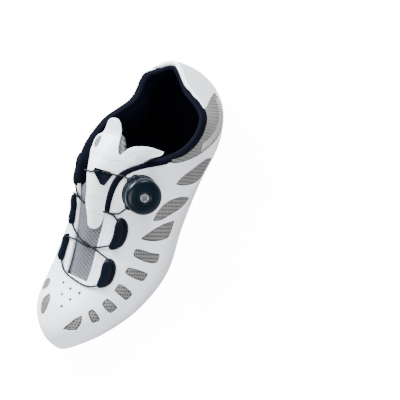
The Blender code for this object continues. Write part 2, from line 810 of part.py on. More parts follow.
def tongue_share(u, y):
    """Cross share of the tongue at a width share y of the ball."""
    ways = np.linspace(1, -1, 81)
    places = [tongue_point(u, v)[1] / BALL_WIDTH for v in ways]
    return u, float(np.interp(-y, [-p for p in places], ways))


def build_guide(guide):
    """A low domed lace guide, laid along the upper."""
    ways = (-1, -0.55, 0, 0.55, 1)
    halves = tuple(guide.half_width * k for k in (0.72, 1.0, 0.72))
    run = (guide.rear, guide.front, halves, guide.bow, guide.side)
    low = strip_rows(*run, GUIDE_CLEAR, GUIDE_STEPS, ways)
    rise = [(0.35, 0.82, 1.0, 0.82, 0.35)[k] for k in range(5)]
    layers = [strip_rows(*run, GUIDE_CLEAR + guide.height * k, GUIDE_STEPS, ways) for k in rise]
    high = [[layers[k][i][k] for k in range(5)] for i in range(GUIDE_STEPS + 1)]
    builder = bmesh.new()
    add_loft(builder, [top + bottom[::-1] for top, bottom in zip(high, low)])
    outward(builder)
    return finish_object(guide.name, builder, BLACK_PLASTIC)


def dial_frame():
    """Centre of the dial on the upper with its three directions: forward, up the side and outward."""
    s = station(DIAL_PLACE[0])
    centre, out = surface(s, DIAL_PLACE[1], 1), normal(s, DIAL_PLACE[1], 1)
    ahead = np.array([1.0, 0, 0]) - out * out[0]
    ahead = ahead / np.linalg.norm(ahead)
    out = out + ahead * DIAL_LEAN[0] + np.cross(out, ahead) * DIAL_LEAN[1]
    out = out / np.linalg.norm(out)
    ahead = ahead - out * (ahead @ out)
    ahead = ahead / np.linalg.norm(ahead)
    return centre, ahead, np.cross(out, ahead), out


def dial_ring(radius, height, count=DIAL_SIDES):
    """Points round the dial's axis at a height over its centre."""
    centre, ahead, up, out = dial_frame()
    turns = np.arange(count) * 2 * math.pi / count
    return [centre + radius * (ahead * math.cos(a) + up * math.sin(a)) + out * height for a in turns]


def build_dial_base(tree):
    """Foot of the dial, shaped to the upper below it."""
    out = Vector(dial_frame()[3])
    rings = [dial_ring(DIAL_RADIUS * k, DIAL_BASE_HEIGHT) for k in (0.3, 0.92)]
    rings.append(dial_ring(DIAL_RADIUS, DIAL_BASE_HEIGHT * 0.75))
    for k in (1.0, 0.8, 0.55, 0.25):
        ring = []
        for point in dial_ring(DIAL_RADIUS * k, 2 * DIAL_RADIUS):
            hit = tree.ray_cast(Vector(point), -out)[0]
            ring.append(hit + out * DIAL_CLEAR)
        rings.append(ring)
    builder = bmesh.new()
    add_loft(builder, rings)
    outward(builder)
    return finish_object("dial_base", builder, BLACK_PLASTIC)


def build_dial_knob():
    """Domed turning knob of the dial."""
    foot = DIAL_BASE_HEIGHT + GAP
    profile = ((0.97, 0.0), (1.0, 0.06), (1.0, 0.62), (0.94, 0.84), (0.78, 0.98), (0.42, 1.0), (0.30, 0.86))
    builder = bmesh.new()
    add_loft(builder, [dial_ring(DIAL_KNOB_RADIUS * r, foot + DIAL_KNOB_HEIGHT * h) for r, h in profile])
    outward(builder)
    return finish_object("dial_knob", builder, BLACK_PLASTIC)


def build_dial_cap():
    """Small silver cap in the middle of the knob."""
    foot = DIAL_BASE_HEIGHT + DIAL_KNOB_HEIGHT * 0.86 + 2 * GAP
    builder = bmesh.new()
    rings = [(1.0, 0.0), (1.0, DIAL_CAP_HEIGHT), (0.85, DIAL_CAP_HEIGHT * 1.5)]
    add_loft(builder, [dial_ring(DIAL_CAP_RADIUS * r, foot + h, 16) for r, h in rings])
    outward(builder)
    return finish_object("dial_cap", builder, SILVER)


def lace_path(strand, tree):
    """Taut middle line of a strand, kept clear of every edge it passes over."""
    shares = np.linspace(0, 1, LACE_FINE * (len(strand.points) - 1) + 1)
    u, y, height = (spline([p[k] for p in strand.points], shares) for k in range(3))
    places = [Vector((UPPER_LENGTH * a - HEEL_BACK_TO_ORIGIN, BALL_WIDTH * b, 0)) for a, b in zip(u, y)]
    down = Vector((0, 0, -1))
    tops = np.array([tree.ray_cast(place + Vector((0, 0, 2 * INSTEP_HEIGHT)), down)[0].z for place in places])
    path = []
    for place, lift in zip(places, height):
        away = np.array([(place - other).length for other in places])
        high = (tops - 0.9 * np.maximum(away - LACE_REACH, 0)).max()
        path.append(Vector((place.x, place.y, high + LACE_CLEAR + LACE_RADIUS + 0.001 * lift)))
    return path[:: LACE_FINE // LACE_STEPS]


def add_tube(builder, path):
    """Adds a closed round tube along a path."""
    rings = []
    for i, point in enumerate(path):
        ahead = (path[min(i + 1, len(path) - 1)] - path[max(i - 1, 0)]).normalized()
        side = ahead.cross(Vector((0, 0, 1))).normalized()
        up = side.cross(ahead)
        turns = [2 * math.pi * k / LACE_SIDES for k in range(LACE_SIDES)]
        rings.append([point + LACE_RADIUS * (side * math.cos(a) + up * math.sin(a)) for a in turns])
    add_loft(builder, rings)


def build_laces(below_overlay, over_all):
    """All strands of the lace. Strands of one name cross and are joined, the rear ones below the overlay."""
    made = {}
    for strand in STRANDS:
        builder = bmesh.new()
        add_tube(builder, lace_path(strand, below_overlay if strand.name == "lace_crossing_rear" else over_all))
        outward(builder)
        if strand.name in made:
            boolean(made[strand.name], finish_object(strand.name + "_other", builder, BLACK_PLASTIC), "UNION")
        else:
            made[strand.name] = finish_object(strand.name, builder, BLACK_PLASTIC)


def main():
    for old in list(bpy.data.objects):
        bpy.data.objects.remove(old)
    upper = build_upper()
    build_outsole()
    build_insole()
    lining = build_collar_lining()
    tongue = build_tongue()
    overlay = build_tongue_overlay()
    build_tongue_guide()
    for guide in GUIDES:
        build_guide(guide)
    tree = evaluated_tree(upper)
    build_dial_base(tree)
    build_dial_knob()
    build_dial_cap()
    build_laces(evaluated_tree(upper, lining, tongue), evaluated_tree(upper, lining, tongue, overlay))


main()
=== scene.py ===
"""Looks of the left cycling shoe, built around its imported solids.

The shoe's outer form is one function of three shares: station s from heel back to toe tip, girth t from
feather edge to crown, and side. Skin, mesh, lining, stitches, dial and guides all take their places from it,
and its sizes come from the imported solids. Flat places are millimetres along the shoe and round its girth.
"""

import logging
import math
from dataclasses import dataclass
from enum import Enum
from typing import Callable, NamedTuple, Optional

import bmesh
import bpy
import numpy as np
from mathutils import Euler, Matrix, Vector
from mathutils.bvhtree import BVHTree

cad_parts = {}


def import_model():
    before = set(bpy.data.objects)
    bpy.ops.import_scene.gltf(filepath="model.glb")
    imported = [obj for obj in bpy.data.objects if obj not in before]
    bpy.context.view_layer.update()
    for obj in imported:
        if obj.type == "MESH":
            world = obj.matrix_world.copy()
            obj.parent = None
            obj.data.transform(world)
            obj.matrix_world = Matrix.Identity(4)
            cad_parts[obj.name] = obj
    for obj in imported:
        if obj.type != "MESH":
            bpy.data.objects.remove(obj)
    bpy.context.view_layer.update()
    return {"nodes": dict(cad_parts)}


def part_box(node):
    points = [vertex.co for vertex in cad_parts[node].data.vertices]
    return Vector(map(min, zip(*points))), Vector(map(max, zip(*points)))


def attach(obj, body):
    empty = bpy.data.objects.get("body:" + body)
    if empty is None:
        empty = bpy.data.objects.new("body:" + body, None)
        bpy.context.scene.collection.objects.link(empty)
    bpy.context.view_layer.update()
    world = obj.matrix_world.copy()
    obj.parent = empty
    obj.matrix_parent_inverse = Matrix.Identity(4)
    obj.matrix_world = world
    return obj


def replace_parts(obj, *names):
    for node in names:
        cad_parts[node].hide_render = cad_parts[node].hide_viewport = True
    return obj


LOG = logging.getLogger("shoe")
MM = 0.001
# In mm: inset of points that no window is near, step that slopes are taken over, way past every edge
FAR_INSET = 5.0
PROBE = 0.05
UNTRIMMED = 60.0
# Height in metres over the shoe, from which rays look down
RAY_TOP = 0.2
DOWN = Vector((0, 0, -1))
SHARP_DEGREES = 50
Distance = Callable[[np.ndarray], np.ndarray]


class Side(Enum):
    """Side of the foot, as the sign of Y."""

    LATERAL = 1
    MEDIAL = -1

    @property
    def word(self) -> str:
        """The side's name in the tables' columns."""
        return self.name.lower()


class Plan(NamedTuple):
    """A row of the plan: half widths and ridge as shares of the ball width, feather of the heel stack."""

    lateral: float
    medial: float
    ridge: float
    feather: float


class Crown(NamedTuple):
    """A row of the height, as shares of the way up from the feather line, and how open each wall is."""

    heel: float
    crown_lateral: float
    crown_medial: float
    open_lateral: float
    open_medial: float


class Rim(NamedTuple):
    """A row of the opening: leans as shares of lean and narrowing, edges as girths."""

    forward: float
    narrow_lateral: float
    narrow_medial: float
    edge_lateral: float
    edge_medial: float


# Rows are evenly spaced in station, from the heel's back to the toe's tip
PLAN = (
    Plan(0.000, 0.000, 0.000, 1.00),
    Plan(0.158, 0.158, 0.000, 0.97),
    Plan(0.325, 0.297, 0.000, 0.91),
    Plan(0.421, 0.311, 0.000, 0.85),
    Plan(0.431, 0.321, 0.000, 0.82),
    Plan(0.464, 0.402, -0.019, 0.65),
    Plan(0.526, 0.474, -0.029, 0.47),
    Plan(0.440, 0.507, -0.038, 0.44),
    Plan(0.273, 0.435, -0.048, 0.59),
    Plan(0.100, 0.249, -0.057, 0.82),
    Plan(-0.057, 0.057, -0.057, 1.00),
)
CROWN = (
    Crown(1.0, 0.987, 0.987, 1.00, 1.00),
    Crown(1.0, 1.000, 1.000, 1.00, 1.00),
    Crown(1.0, 0.926, 0.938, 1.00, 1.00),
    Crown(0.5, 0.713, 0.755, 1.00, 1.00),
    Crown(0.0, 0.654, 0.889, 1.00, 0.88),
    Crown(0.0, 1.000, 1.000, 0.35, 0.68),
    Crown(0.0, 0.667, 0.667, 0.08, 0.08),
    Crown(0.0, 0.463, 0.463, 0.00, 0.00),
    Crown(0.0, 0.419, 0.419, 0.00, 0.00),
    Crown(0.0, 0.273, 0.273, 0.00, 0.00),
    Crown(0.0, 0.000, 0.000, 0.00, 0.00),
)
RIM = (
    Rim(1.00, 0.00, 0.00, 1.00, 1.00),
    Rim(0.90, 0.64, 0.36, 1.00, 1.00),
    Rim(0.55, 1.00, 0.32, 1.00, 1.00),
    Rim(0.10, -0.62, 0.05, 1.00, 1.00),
    Rim(0.00, -0.42, -0.35, 1.00, 1.00),
    Rim(0.00, -0.18, 0.55, 0.96, 1.00),
    Rim(0.00, 0.00, 0.00, 0.93, 0.88),
    Rim(0.00, 0.00, 0.00, 0.88, 0.89),
    Rim(0.00, 0.00, 0.00, 0.90, 0.88),
    Rim(0.00, 0.00, 0.00, 0.90, 0.88),
    Rim(0.00, 0.00, 0.00, 0.90, 0.88),
)


class TongueRow(NamedTuple):
    """A cross row of the tongue: y as shares of the ball width, z of the instep height."""

    along: float
    medial_skirt_y: float
    medial_skirt_z: float
    medial_lip_y: float
    medial_lip_z: float
    middle_y: float
    middle_z: float
    lateral_lip_y: float
    lateral_lip_z: float
    lateral_skirt_y: float
    lateral_skirt_z: float


TONGUE = (
    TongueRow(0.835, -0.270, 0.350, -0.150, 0.395, -0.030, 0.410, 0.080, 0.395, 0.190, 0.355),
    TongueRow(0.780, -0.260, 0.395, -0.145, 0.435, -0.025, 0.462, 0.095, 0.435, 0.210, 0.395),
    TongueRow(0.700, -0.260, 0.490, -0.150, 0.545, -0.030, 0.600, 0.090, 0.545, 0.220, 0.490),
    TongueRow(0.605, -0.270, 0.655, -0.185, 0.710, -0.010, 0.785, 0.115, 0.730, 0.250, 0.665),
    TongueRow(0.530, -0.260, 0.800, -0.220, 0.890, -0.015, 0.985, 0.145, 0.885, 0.240, 0.805),
    TongueRow(0.465, -0.230, 0.840, -0.220, 0.940, 0.000, 1.042, 0.190, 0.940, 0.240, 0.860),
    TongueRow(0.435, -0.220, 0.860, -0.212, 0.958, 0.000, 1.050, 0.210, 0.975, 0.290, 0.900),
    TongueRow(0.415, -0.212, 0.880, -0.205, 0.972, 0.000, 1.055, 0.235, 1.000, 0.355, 0.920),
    TongueRow(0.395, -0.204, 0.905, -0.196, 0.985, 0.000, 1.068, 0.270, 1.012, 0.410, 0.915),
    TongueRow(0.365, -0.200, 0.930, -0.190, 1.010, -0.030, 1.140, 0.265, 1.020, 0.400, 0.935),
)
TONGUE_PARTS = ("medial_skirt", "medial_lip", "middle", "lateral_lip", "lateral_skirt")


class Outline(NamedTuple):
    """A cut or patch on a sheet: its corners, as (length share, girth or width share)."""

    name: str
    corners: tuple


WINDOWS = (
    Outline("waist", (
        (0.428, 0.47), (0.399, 0.54), (0.369, 0.57), (0.330, 0.52), (0.287, 0.36), (0.255, 0.09),
        (0.335, 0.09), (0.384, 0.26), (0.412, 0.38),
    )),
    Outline("arch", (
        (0.563, 0.42), (0.536, 0.40), (0.502, 0.37), (0.474, 0.34), (0.442, 0.28), (0.415, 0.13),
        (0.439, 0.12), (0.474, 0.16), (0.514, 0.24), (0.542, 0.31),
    )),
    Outline("wedge", (
        (0.624, 0.53), (0.601, 0.46), (0.573, 0.37), (0.542, 0.27), (0.508, 0.15), (0.536, 0.14),
        (0.566, 0.16), (0.592, 0.26), (0.614, 0.40),
    )),
    Outline("bar_1", (
        (0.652, 0.55), (0.646, 0.50), (0.637, 0.35), (0.623, 0.23), (0.652, 0.23), (0.663, 0.29),
        (0.672, 0.40), (0.674, 0.54),
    )),
    Outline("bar_2", (
        (0.705, 0.54), (0.700, 0.47), (0.694, 0.36), (0.691, 0.27), (0.721, 0.28), (0.725, 0.37),
        (0.727, 0.47), (0.725, 0.55),
    )),
    Outline("bar_3", (
        (0.757, 0.55), (0.755, 0.48), (0.758, 0.38), (0.764, 0.30), (0.791, 0.32), (0.788, 0.41),
        (0.785, 0.49), (0.781, 0.55),
    )),
    Outline("bar_4", (
        (0.808, 0.57), (0.809, 0.50), (0.813, 0.41), (0.818, 0.34), (0.844, 0.35), (0.841, 0.44),
        (0.836, 0.52), (0.828, 0.58),
    )),
    Outline("bar_5", (
        (0.853, 0.62), (0.856, 0.55), (0.862, 0.47), (0.872, 0.37), (0.892, 0.40), (0.885, 0.50),
        (0.877, 0.57), (0.868, 0.63),
    )),
    Outline("toe", (
        (0.945, 0.78), (0.925, 0.74), (0.905, 0.71), (0.881, 0.66), (0.892, 0.60), (0.909, 0.54),
        (0.929, 0.52), (0.940, 0.62),
    )),
)
MEDIAL_TOE = (
    Outline("toe_slot", (
        (0.937, 0.74), (0.925, 0.71), (0.906, 0.69), (0.886, 0.73), (0.868, 0.80), (0.876, 0.86),
        (0.890, 0.88), (0.911, 0.88), (0.929, 0.84),
    )),
    Outline("toe_bar", (
        (0.864, 0.69), (0.842, 0.73), (0.827, 0.67), (0.834, 0.52), (0.850, 0.40), (0.872, 0.42),
        (0.868, 0.58),
    )),
)
ANKLE_PANEL = Outline("ankle", (
    (0.165, 1.10), (0.150, 0.80), (0.112, 0.62), (0.084, 0.52), (0.052, 0.36), (0.066, 0.26),
    (0.090, 0.14), (0.125, 0.10), (0.165, 0.14), (0.205, 0.25), (0.246, 0.39), (0.299, 0.62),
    (0.345, 0.80), (0.385, 0.87), (0.398, 0.95), (0.400, 1.10),
))
THROAT_FRONT = 0.796
PERFORATIONS = (
    (0.824, -0.125), (0.831, -0.030), (0.831, 0.068), (0.856, -0.077), (0.859, 0.020), (0.887, -0.020),
)

OVERLAY_OUTLINE = Outline("overlay", (
    (0.652, 0.005), (0.651, 0.042), (0.640, 0.075), (0.622, 0.097), (0.600, 0.110), (0.575, 0.104),
    (0.545, 0.118), (0.510, 0.146), (0.480, 0.184), (0.455, 0.226), (0.435, 0.275), (0.415, 0.340),
    (0.400, 0.408), (0.388, 0.420), (0.391, 0.385), (0.395, 0.330), (0.404, 0.258), (0.412, 0.206),
    (0.422, 0.171), (0.434, 0.146), (0.450, 0.126), (0.447, 0.108), (0.436, 0.093), (0.424, 0.085),
    (0.408, 0.075), (0.396, 0.072), (0.381, 0.067), (0.366, 0.048), (0.360, 0.016), (0.363, -0.026),
    (0.371, -0.066), (0.390, -0.104), (0.399, -0.130), (0.402, -0.170), (0.408, -0.200), (0.418, -0.222),
    (0.430, -0.222), (0.456, -0.180), (0.480, -0.137), (0.504, -0.103), (0.542, -0.080), (0.578, -0.050),
    (0.600, -0.036), (0.625, -0.024), (0.645, -0.012),
))
OVAL_MEDIAL = Outline("oval_medial", (
    (0.405, -0.127), (0.408, -0.160), (0.414, -0.190), (0.425, -0.202), (0.438, -0.180), (0.449, -0.142),
    (0.450, -0.112), (0.436, -0.098), (0.418, -0.102),
))
TONGUE_OUTLINE = Outline("tongue", (
    (0.830, -0.27), (0.830, 0.20), (0.700, 0.24), (0.600, 0.25), (0.560, 0.118), (0.510, 0.150),
    (0.465, 0.210), (0.435, 0.30), (0.412, 0.36), (0.398, 0.405), (0.400, 0.33), (0.412, 0.230),
    (0.430, 0.165), (0.446, 0.130), (0.425, 0.128), (0.409, 0.108), (0.396, 0.076), (0.394, -0.060),
    (0.404, -0.195), (0.428, -0.216), (0.456, -0.172), (0.504, -0.095), (0.545, -0.085), (0.572, -0.25),
    (0.700, -0.265),
))


class GuidePlace(NamedTuple):
    """A lace guide on the upper.

    Its ends are (length share, girth), half width and height are in mm, the bow is a share of the girth, and
    the waist is the share that its middle loses.
    """

    node: str
    side: Side
    rear: tuple
    front: tuple
    half_width: float
    height: float
    bow: float = 0.0
    waist: float = 0.0


GUIDES = (
    GuidePlace("guide_lateral_rear", Side.LATERAL, (0.597, 0.765), (0.684, 0.770), 5.4, 4.6, bow=-0.036),
    GuidePlace("guide_lateral_front", Side.LATERAL, (0.708, 0.765), (0.792, 0.705), 5.3, 4.6, bow=-0.034),
    GuidePlace("guide_medial_top", Side.MEDIAL, (0.468, 0.94), (0.562, 0.92), 3.1, 3.4, waist=0.45),
    GuidePlace("guide_medial_middle", Side.MEDIAL, (0.580, 0.86), (0.662, 0.78), 3.6, 4.2, waist=0.20),
    GuidePlace("guide_medial_front", Side.MEDIAL, (0.688, 0.76), (0.768, 0.76), 3.6, 4.4, waist=0.20),
)


class Strand(NamedTuple):
    """A run of lace: points of (length share, width share, extra height in mm) over what lies below it."""

    node: str
    below_overlay: bool
    points: tuple


STRANDS = (
    Strand("lace_top_lateral", False, (
        (0.512, 0.060, 0.6), (0.506, 0.121, 0.1), (0.502, 0.170, 0.1), (0.503, 0.214, 0.1),
        (0.501, 0.244, 0.1), (0.503, 0.285, 0.8),
    )),
    Strand("lace_top_medial", False, (
        (0.514, 0.040, 0.6), (0.522, -0.030, 0.1), (0.522, -0.070, 0.0), (0.521, -0.100, -0.3),
        (0.520, -0.125, -0.6),
    )),
    Strand("lace_crossing_rear", True, (
        (0.552, -0.235, 0.8), (0.572, -0.210, 0.1), (0.592, -0.150, 0.1), (0.603, -0.040, 0.1),
        (0.604, 0.060, 0.1), (0.603, 0.130, 0.1), (0.602, 0.180, 0.1), (0.603, 0.210, 0.1),
        (0.612, 0.255, 1.2),
    )),
    Strand("lace_crossing_rear", True, (
        (0.580, -0.255, 1.4), (0.586, -0.208, 0.1), (0.595, -0.130, 0.1), (0.599, -0.040, 0.1),
        (0.600, 0.060, 0.1), (0.602, 0.140, 0.1), (0.598, 0.200, 0.1), (0.590, 0.250, 0.1),
        (0.564, 0.310, 0.8),
    )),
    Strand("lace_crossing_front", False, (
        (0.672, 0.240, 1.4), (0.694, 0.110, 0.1), (0.703, 0.000, 0.1), (0.698, -0.120, 0.1),
        (0.700, -0.245, 1.4),
    )),
    Strand("lace_crossing_front", False, (
        (0.714, 0.240, 1.4), (0.704, 0.110, 0.3), (0.698, 0.000, 0.3), (0.684, -0.130, 0.1),
        (0.650, -0.240, 1.4),
    )),
    Strand("lace_front_bar", False, (
        (0.758, -0.250, 1.4), (0.792, -0.160, 0.1), (0.804, 0.000, 0.1), (0.803, 0.125, 0.1),
        (0.780, 0.240, 1.4),
    )),
)


def spline(values: np.ndarray, share: np.ndarray) -> np.ndarray:
    """Catmull-Rom curve through evenly spaced values, whose first axis is the value's number.

    Args:
        values: Values along the curve, shaped (count, ...).
        share: Place on the curve from 0 to 1, a number or shaped like one value.

    Returns:
        The curve's values at the shares.
    """
    values = np.asarray(values, float)
    share = np.asarray(share, float)
    ends = np.concatenate([[2 * values[0] - values[1]], values, [2 * values[-1] - values[-2]]])
    place = np.clip(share, 0, 1) * (len(values) - 1)
    row = np.clip(place.astype(int), 0, len(values) - 2)
    f = place - row
    if values.ndim == 1:
        a, b, c, d = (ends[row + k] for k in range(4))
    else:
        a, b, c, d = (np.take_along_axis(ends, (row + k)[None], 0)[0] for k in range(4))
    return 0.5 * (2 * b + (c - a) * f + (2 * a - 5 * b + 4 * c - d) * f**2 + (3 * b - a - 3 * c + d) * f**3)


def column(table: tuple, name: str, share: np.ndarray) -> np.ndarray:
    """Reads one named column of a section table as a smooth curve."""
    return spline(np.array([getattr(row, name) for row in table]), share)


def unit(vectors: np.ndarray) -> np.ndarray:
    """Scales vectors to length one."""
    return vectors / (np.linalg.norm(vectors, axis=-1, keepdims=True) + 1e-12)


def smooth_step(values: np.ndarray, low: float, high: float) -> np.ndarray:
    """Eases from 0 at low to 1 at high."""
    share = np.clip((np.asarray(values, float) - low) / (high - low), 0, 1)
    return share * share * (3 - 2 * share)


def circle(count: int, first: np.ndarray, second: np.ndarray) -> np.ndarray:
    """Points round the circle or oval that two half axes span."""
    turns = np.arange(count)[:, None] * 2 * math.pi / count
    return np.cos(turns) * first + np.sin(turns) * second


def rounded(corners: np.ndarray, rounds: int = 2) -> np.ndarray:
    """Cuts the corners of a closed outline so that it runs smoothly."""
    for share in (0.17, 0.24, 0.25)[:rounds]:
        following = np.roll(corners, -1, axis=0)
        near, far = corners * (1 - share) + following * share, corners * share + following * (1 - share)
        corners = np.stack([near, far], 1).reshape(-1, 2)
    return corners


def outline_distance(points: np.ndarray, corners: np.ndarray) -> np.ndarray:
    """Signed distance from points to a closed outline, negative inside.

    Args:
        points: Places shaped (..., 2).
        corners: The outline's corners in order, shaped (count, 2).

    Returns:
        The distances, shaped like the points without their last axis.
    """
    nearest = np.full(points.shape[:-1], np.inf)
    inside = np.zeros(points.shape[:-1], bool)
    for start, end in zip(corners, np.roll(corners, -1, axis=0)):
        run, reach = end - start, points - start
        share = np.clip((reach @ run) / (run @ run + 1e-12), 0, 1)
        nearest = np.minimum(nearest, np.linalg.norm(reach - share[..., None] * run, axis=-1))
        level = (start[1] > points[..., 1]) != (end[1] > points[..., 1])
        with np.errstate(divide="ignore", invalid="ignore"):
            crossing = run[0] * (points[..., 1] - start[1]) / run[1] + start[0]
        inside ^= level & (points[..., 0] < crossing)
    return np.where(inside, -nearest, nearest)


class Share:
    """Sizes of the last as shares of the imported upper's box, or of the last's own length and instep."""

    LENGTH = 1.0035
    BALL = 0.997
    INSTEP = 0.992
    HEEL = 0.853
    STACK = 0.179
    LEAN = 0.0704
    NARROWING = 0.0387


@dataclass(frozen=True)
class Last:
    """The form inside the shoe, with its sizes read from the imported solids.

    Args:
        length: Heel back to toe tip.
        ball: Width at the ball.
        instep: Height of the instep.
        heel: Height of the heel's collar.
        stack: Height of the feather edge at heel and toe.
        lean: How far the heel's collar leans forward.
        narrowing: How far the ankle's collar draws in.
        heel_back: X of the heel's back.
        wall: Thickness of the upper's wall.
        feather_inset: How far the feather edge lies inside the plan.
        feather_reach: Girth up to which it draws in.
        side_fullness: Power that rounds a wall sideways, lower for fuller.
        top_fullness: Power that rounds it upward.
    """

    length: float
    ball: float
    instep: float
    heel: float
    stack: float
    lean: float
    narrowing: float
    heel_back: float
    wall: float = 2.6 * MM
    feather_inset: float = 4.0 * MM
    feather_reach: float = 0.22
    side_fullness: float = 0.80
    top_fullness: float = 0.85

    @classmethod
    def from_frame(cls) -> "Last":
        """Reads the last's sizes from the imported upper."""
        low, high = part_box("upper")
        length = (high.x - low.x) * Share.LENGTH
        instep = high.z * Share.INSTEP
        return cls(
            length=length,
            ball=(high.y - low.y) * Share.BALL,
            instep=instep,
            heel=instep * Share.HEEL,
            stack=instep * Share.STACK,
            lean=length * Share.LEAN,
            narrowing=length * Share.NARROWING,
            heel_back=high.x - length,
        )

    @staticmethod
    def along(s: np.ndarray) -> np.ndarray:
        """Length share at station s."""
        return (1 - np.cos(np.pi * np.asarray(s, float))) / 2

    @staticmethod
    def station(share: np.ndarray) -> np.ndarray:
        """Station at a length share."""
        return np.arccos(1 - 2 * np.clip(np.asarray(share, float), 0, 1)) / np.pi

    def half_width(self, s: np.ndarray, side: Side) -> np.ndarray:
        """Half width of the plan at station s."""
        return self.ball * column(PLAN, side.word, s)

    def feather(self, s: np.ndarray) -> np.ndarray:
        """Height of the feather edge."""
        return self.stack * column(PLAN, "feather", s)

    def crown(self, s: np.ndarray, side: Side) -> np.ndarray:
        """Height of the crown over the floor."""
        heel, low = column(CROWN, "heel", s), self.feather(s)
        full = heel * self.heel + (1 - heel) * self.instep
        return low + column(CROWN, "crown_" + side.word, s) * (full - low)

    def edge(self, s: np.ndarray, side: Side) -> np.ndarray:
        """Girth of the opening's edge."""
        return np.minimum(column(RIM, "edge_" + side.word, s), 1.0)

    def plan_normal(self, s: np.ndarray, side: Side) -> tuple:
        """Outward direction of the plan outline."""
        before, after = np.clip(s - 1e-3, 0, 1), np.clip(s + 1e-3, 0, 1)
        dx = self.length * (self.along(after) - self.along(before))
        dy = self.half_width(after, side) - self.half_width(before, side)
        size = np.hypot(dx, dy) + 1e-12
        return -dy / size, dx * side.value / size

    def point(self, s: np.ndarray, t: np.ndarray, side: Side) -> np.ndarray:
        """Point of the outer surface at station s and girth t."""
        s, t = np.broadcast_arrays(np.asarray(s, float), np.asarray(t, float))
        way = side.value
        middle = self.ball * column(PLAN, "ridge", s)
        low, high = self.feather(s), self.crown(s, side)
        openness = np.maximum(column(CROWN, "open_" + side.word, s), 0.0)
        openness = np.where(self.along(s) >= THROAT_FRONT, 0.0, openness)
        reach = np.cos(np.pi * t / 2).clip(0) ** self.side_fullness
        rise = np.sin(np.pi * t / 2).clip(0) ** self.top_fullness
        y = middle + (way * self.half_width(s, side) - middle) * (openness + (1 - openness) * reach)
        z = low + (high - low) * (openness * t + (1 - openness) * rise)
        nx, ny = self.plan_normal(s, side)
        inset = self.feather_inset * np.clip(1 - t / self.feather_reach, 0, 1) ** 2
        x = self.heel_back + self.length * self.along(s) + self.lean * column(RIM, "forward", s) * t**2
        y = y - way * self.narrowing * column(RIM, "narrow_" + side.word, s) * t**2
        return np.stack([x - nx * inset, y - ny * inset, z], -1)

    def normal(self, s: np.ndarray, t: np.ndarray, side: Side) -> np.ndarray:
        """Outward normal of the outer surface."""
        ds = self.point(np.minimum(s + 2e-3, 1), t, side) - self.point(np.maximum(s - 2e-3, 0), t, side)
        dt = self.point(s, np.minimum(t + 2e-3, 1), side) - self.point(s, np.maximum(t - 2e-3, 0), side)
        return unit(-side.value * np.cross(ds, dt))

    def lifted(self, s: np.ndarray, t: np.ndarray, side: Side, height: float) -> np.ndarray:
        """Point at a height over the outer surface."""
        return self.point(s, t, side) + self.normal(s, t, side) * height

    def girths(self, s: np.ndarray, side: Side, steps: int = 90) -> tuple:
        """Way round the girth in mm for each station, with the girths that it belongs to."""
        t = np.linspace(0, 1, steps)
        rows = self.point(np.asarray(s)[:, None], t[None], side)
        lengths = np.linalg.norm(np.diff(rows, axis=1), axis=-1)
        return t, np.concatenate([np.zeros((len(rows), 1)), np.cumsum(lengths, 1)], 1) / MM

    def edge_ways(self, s: np.ndarray, side: Side) -> tuple:
        """Girths, ways round in mm, edge girth and way to the opening's edge for each station."""
        t, way = self.girths(s, side)
        edge = self.edge(s, side)
        return t, way, edge, np.array([np.interp(top, t, row) for top, row in zip(edge, way)])

    def flat(self, u: float, t: float, side: Side) -> np.ndarray:
        """Flat place in mm of a length share and girth."""
        steps, way = self.girths(np.array([self.station(u)]), side)
        return np.array([u * self.length / MM, np.interp(t, steps, way[0])])

    def even_stations(self, side: Side, spacing: float) -> np.ndarray:
        """Stations at equal steps along the side, with one exactly at the throat's front."""
        s = np.linspace(0, 1, 1200)
        rows = self.point(s, np.full_like(s, 0.35), side)
        way = np.concatenate([[0], np.cumsum(np.linalg.norm(np.diff(rows, axis=0), axis=1))])
        throat = float(self.station(THROAT_FRONT))
        middle = np.interp(throat, s, way)
        rear = np.linspace(0, middle, int(middle / spacing) + 1)
        front = np.linspace(middle, way[-1], int((way[-1] - middle) / spacing) + 1)[1:]
        stations = np.interp(np.concatenate([rear, front]), way, s)
        stations[len(rear) - 1] = throat
        return stations


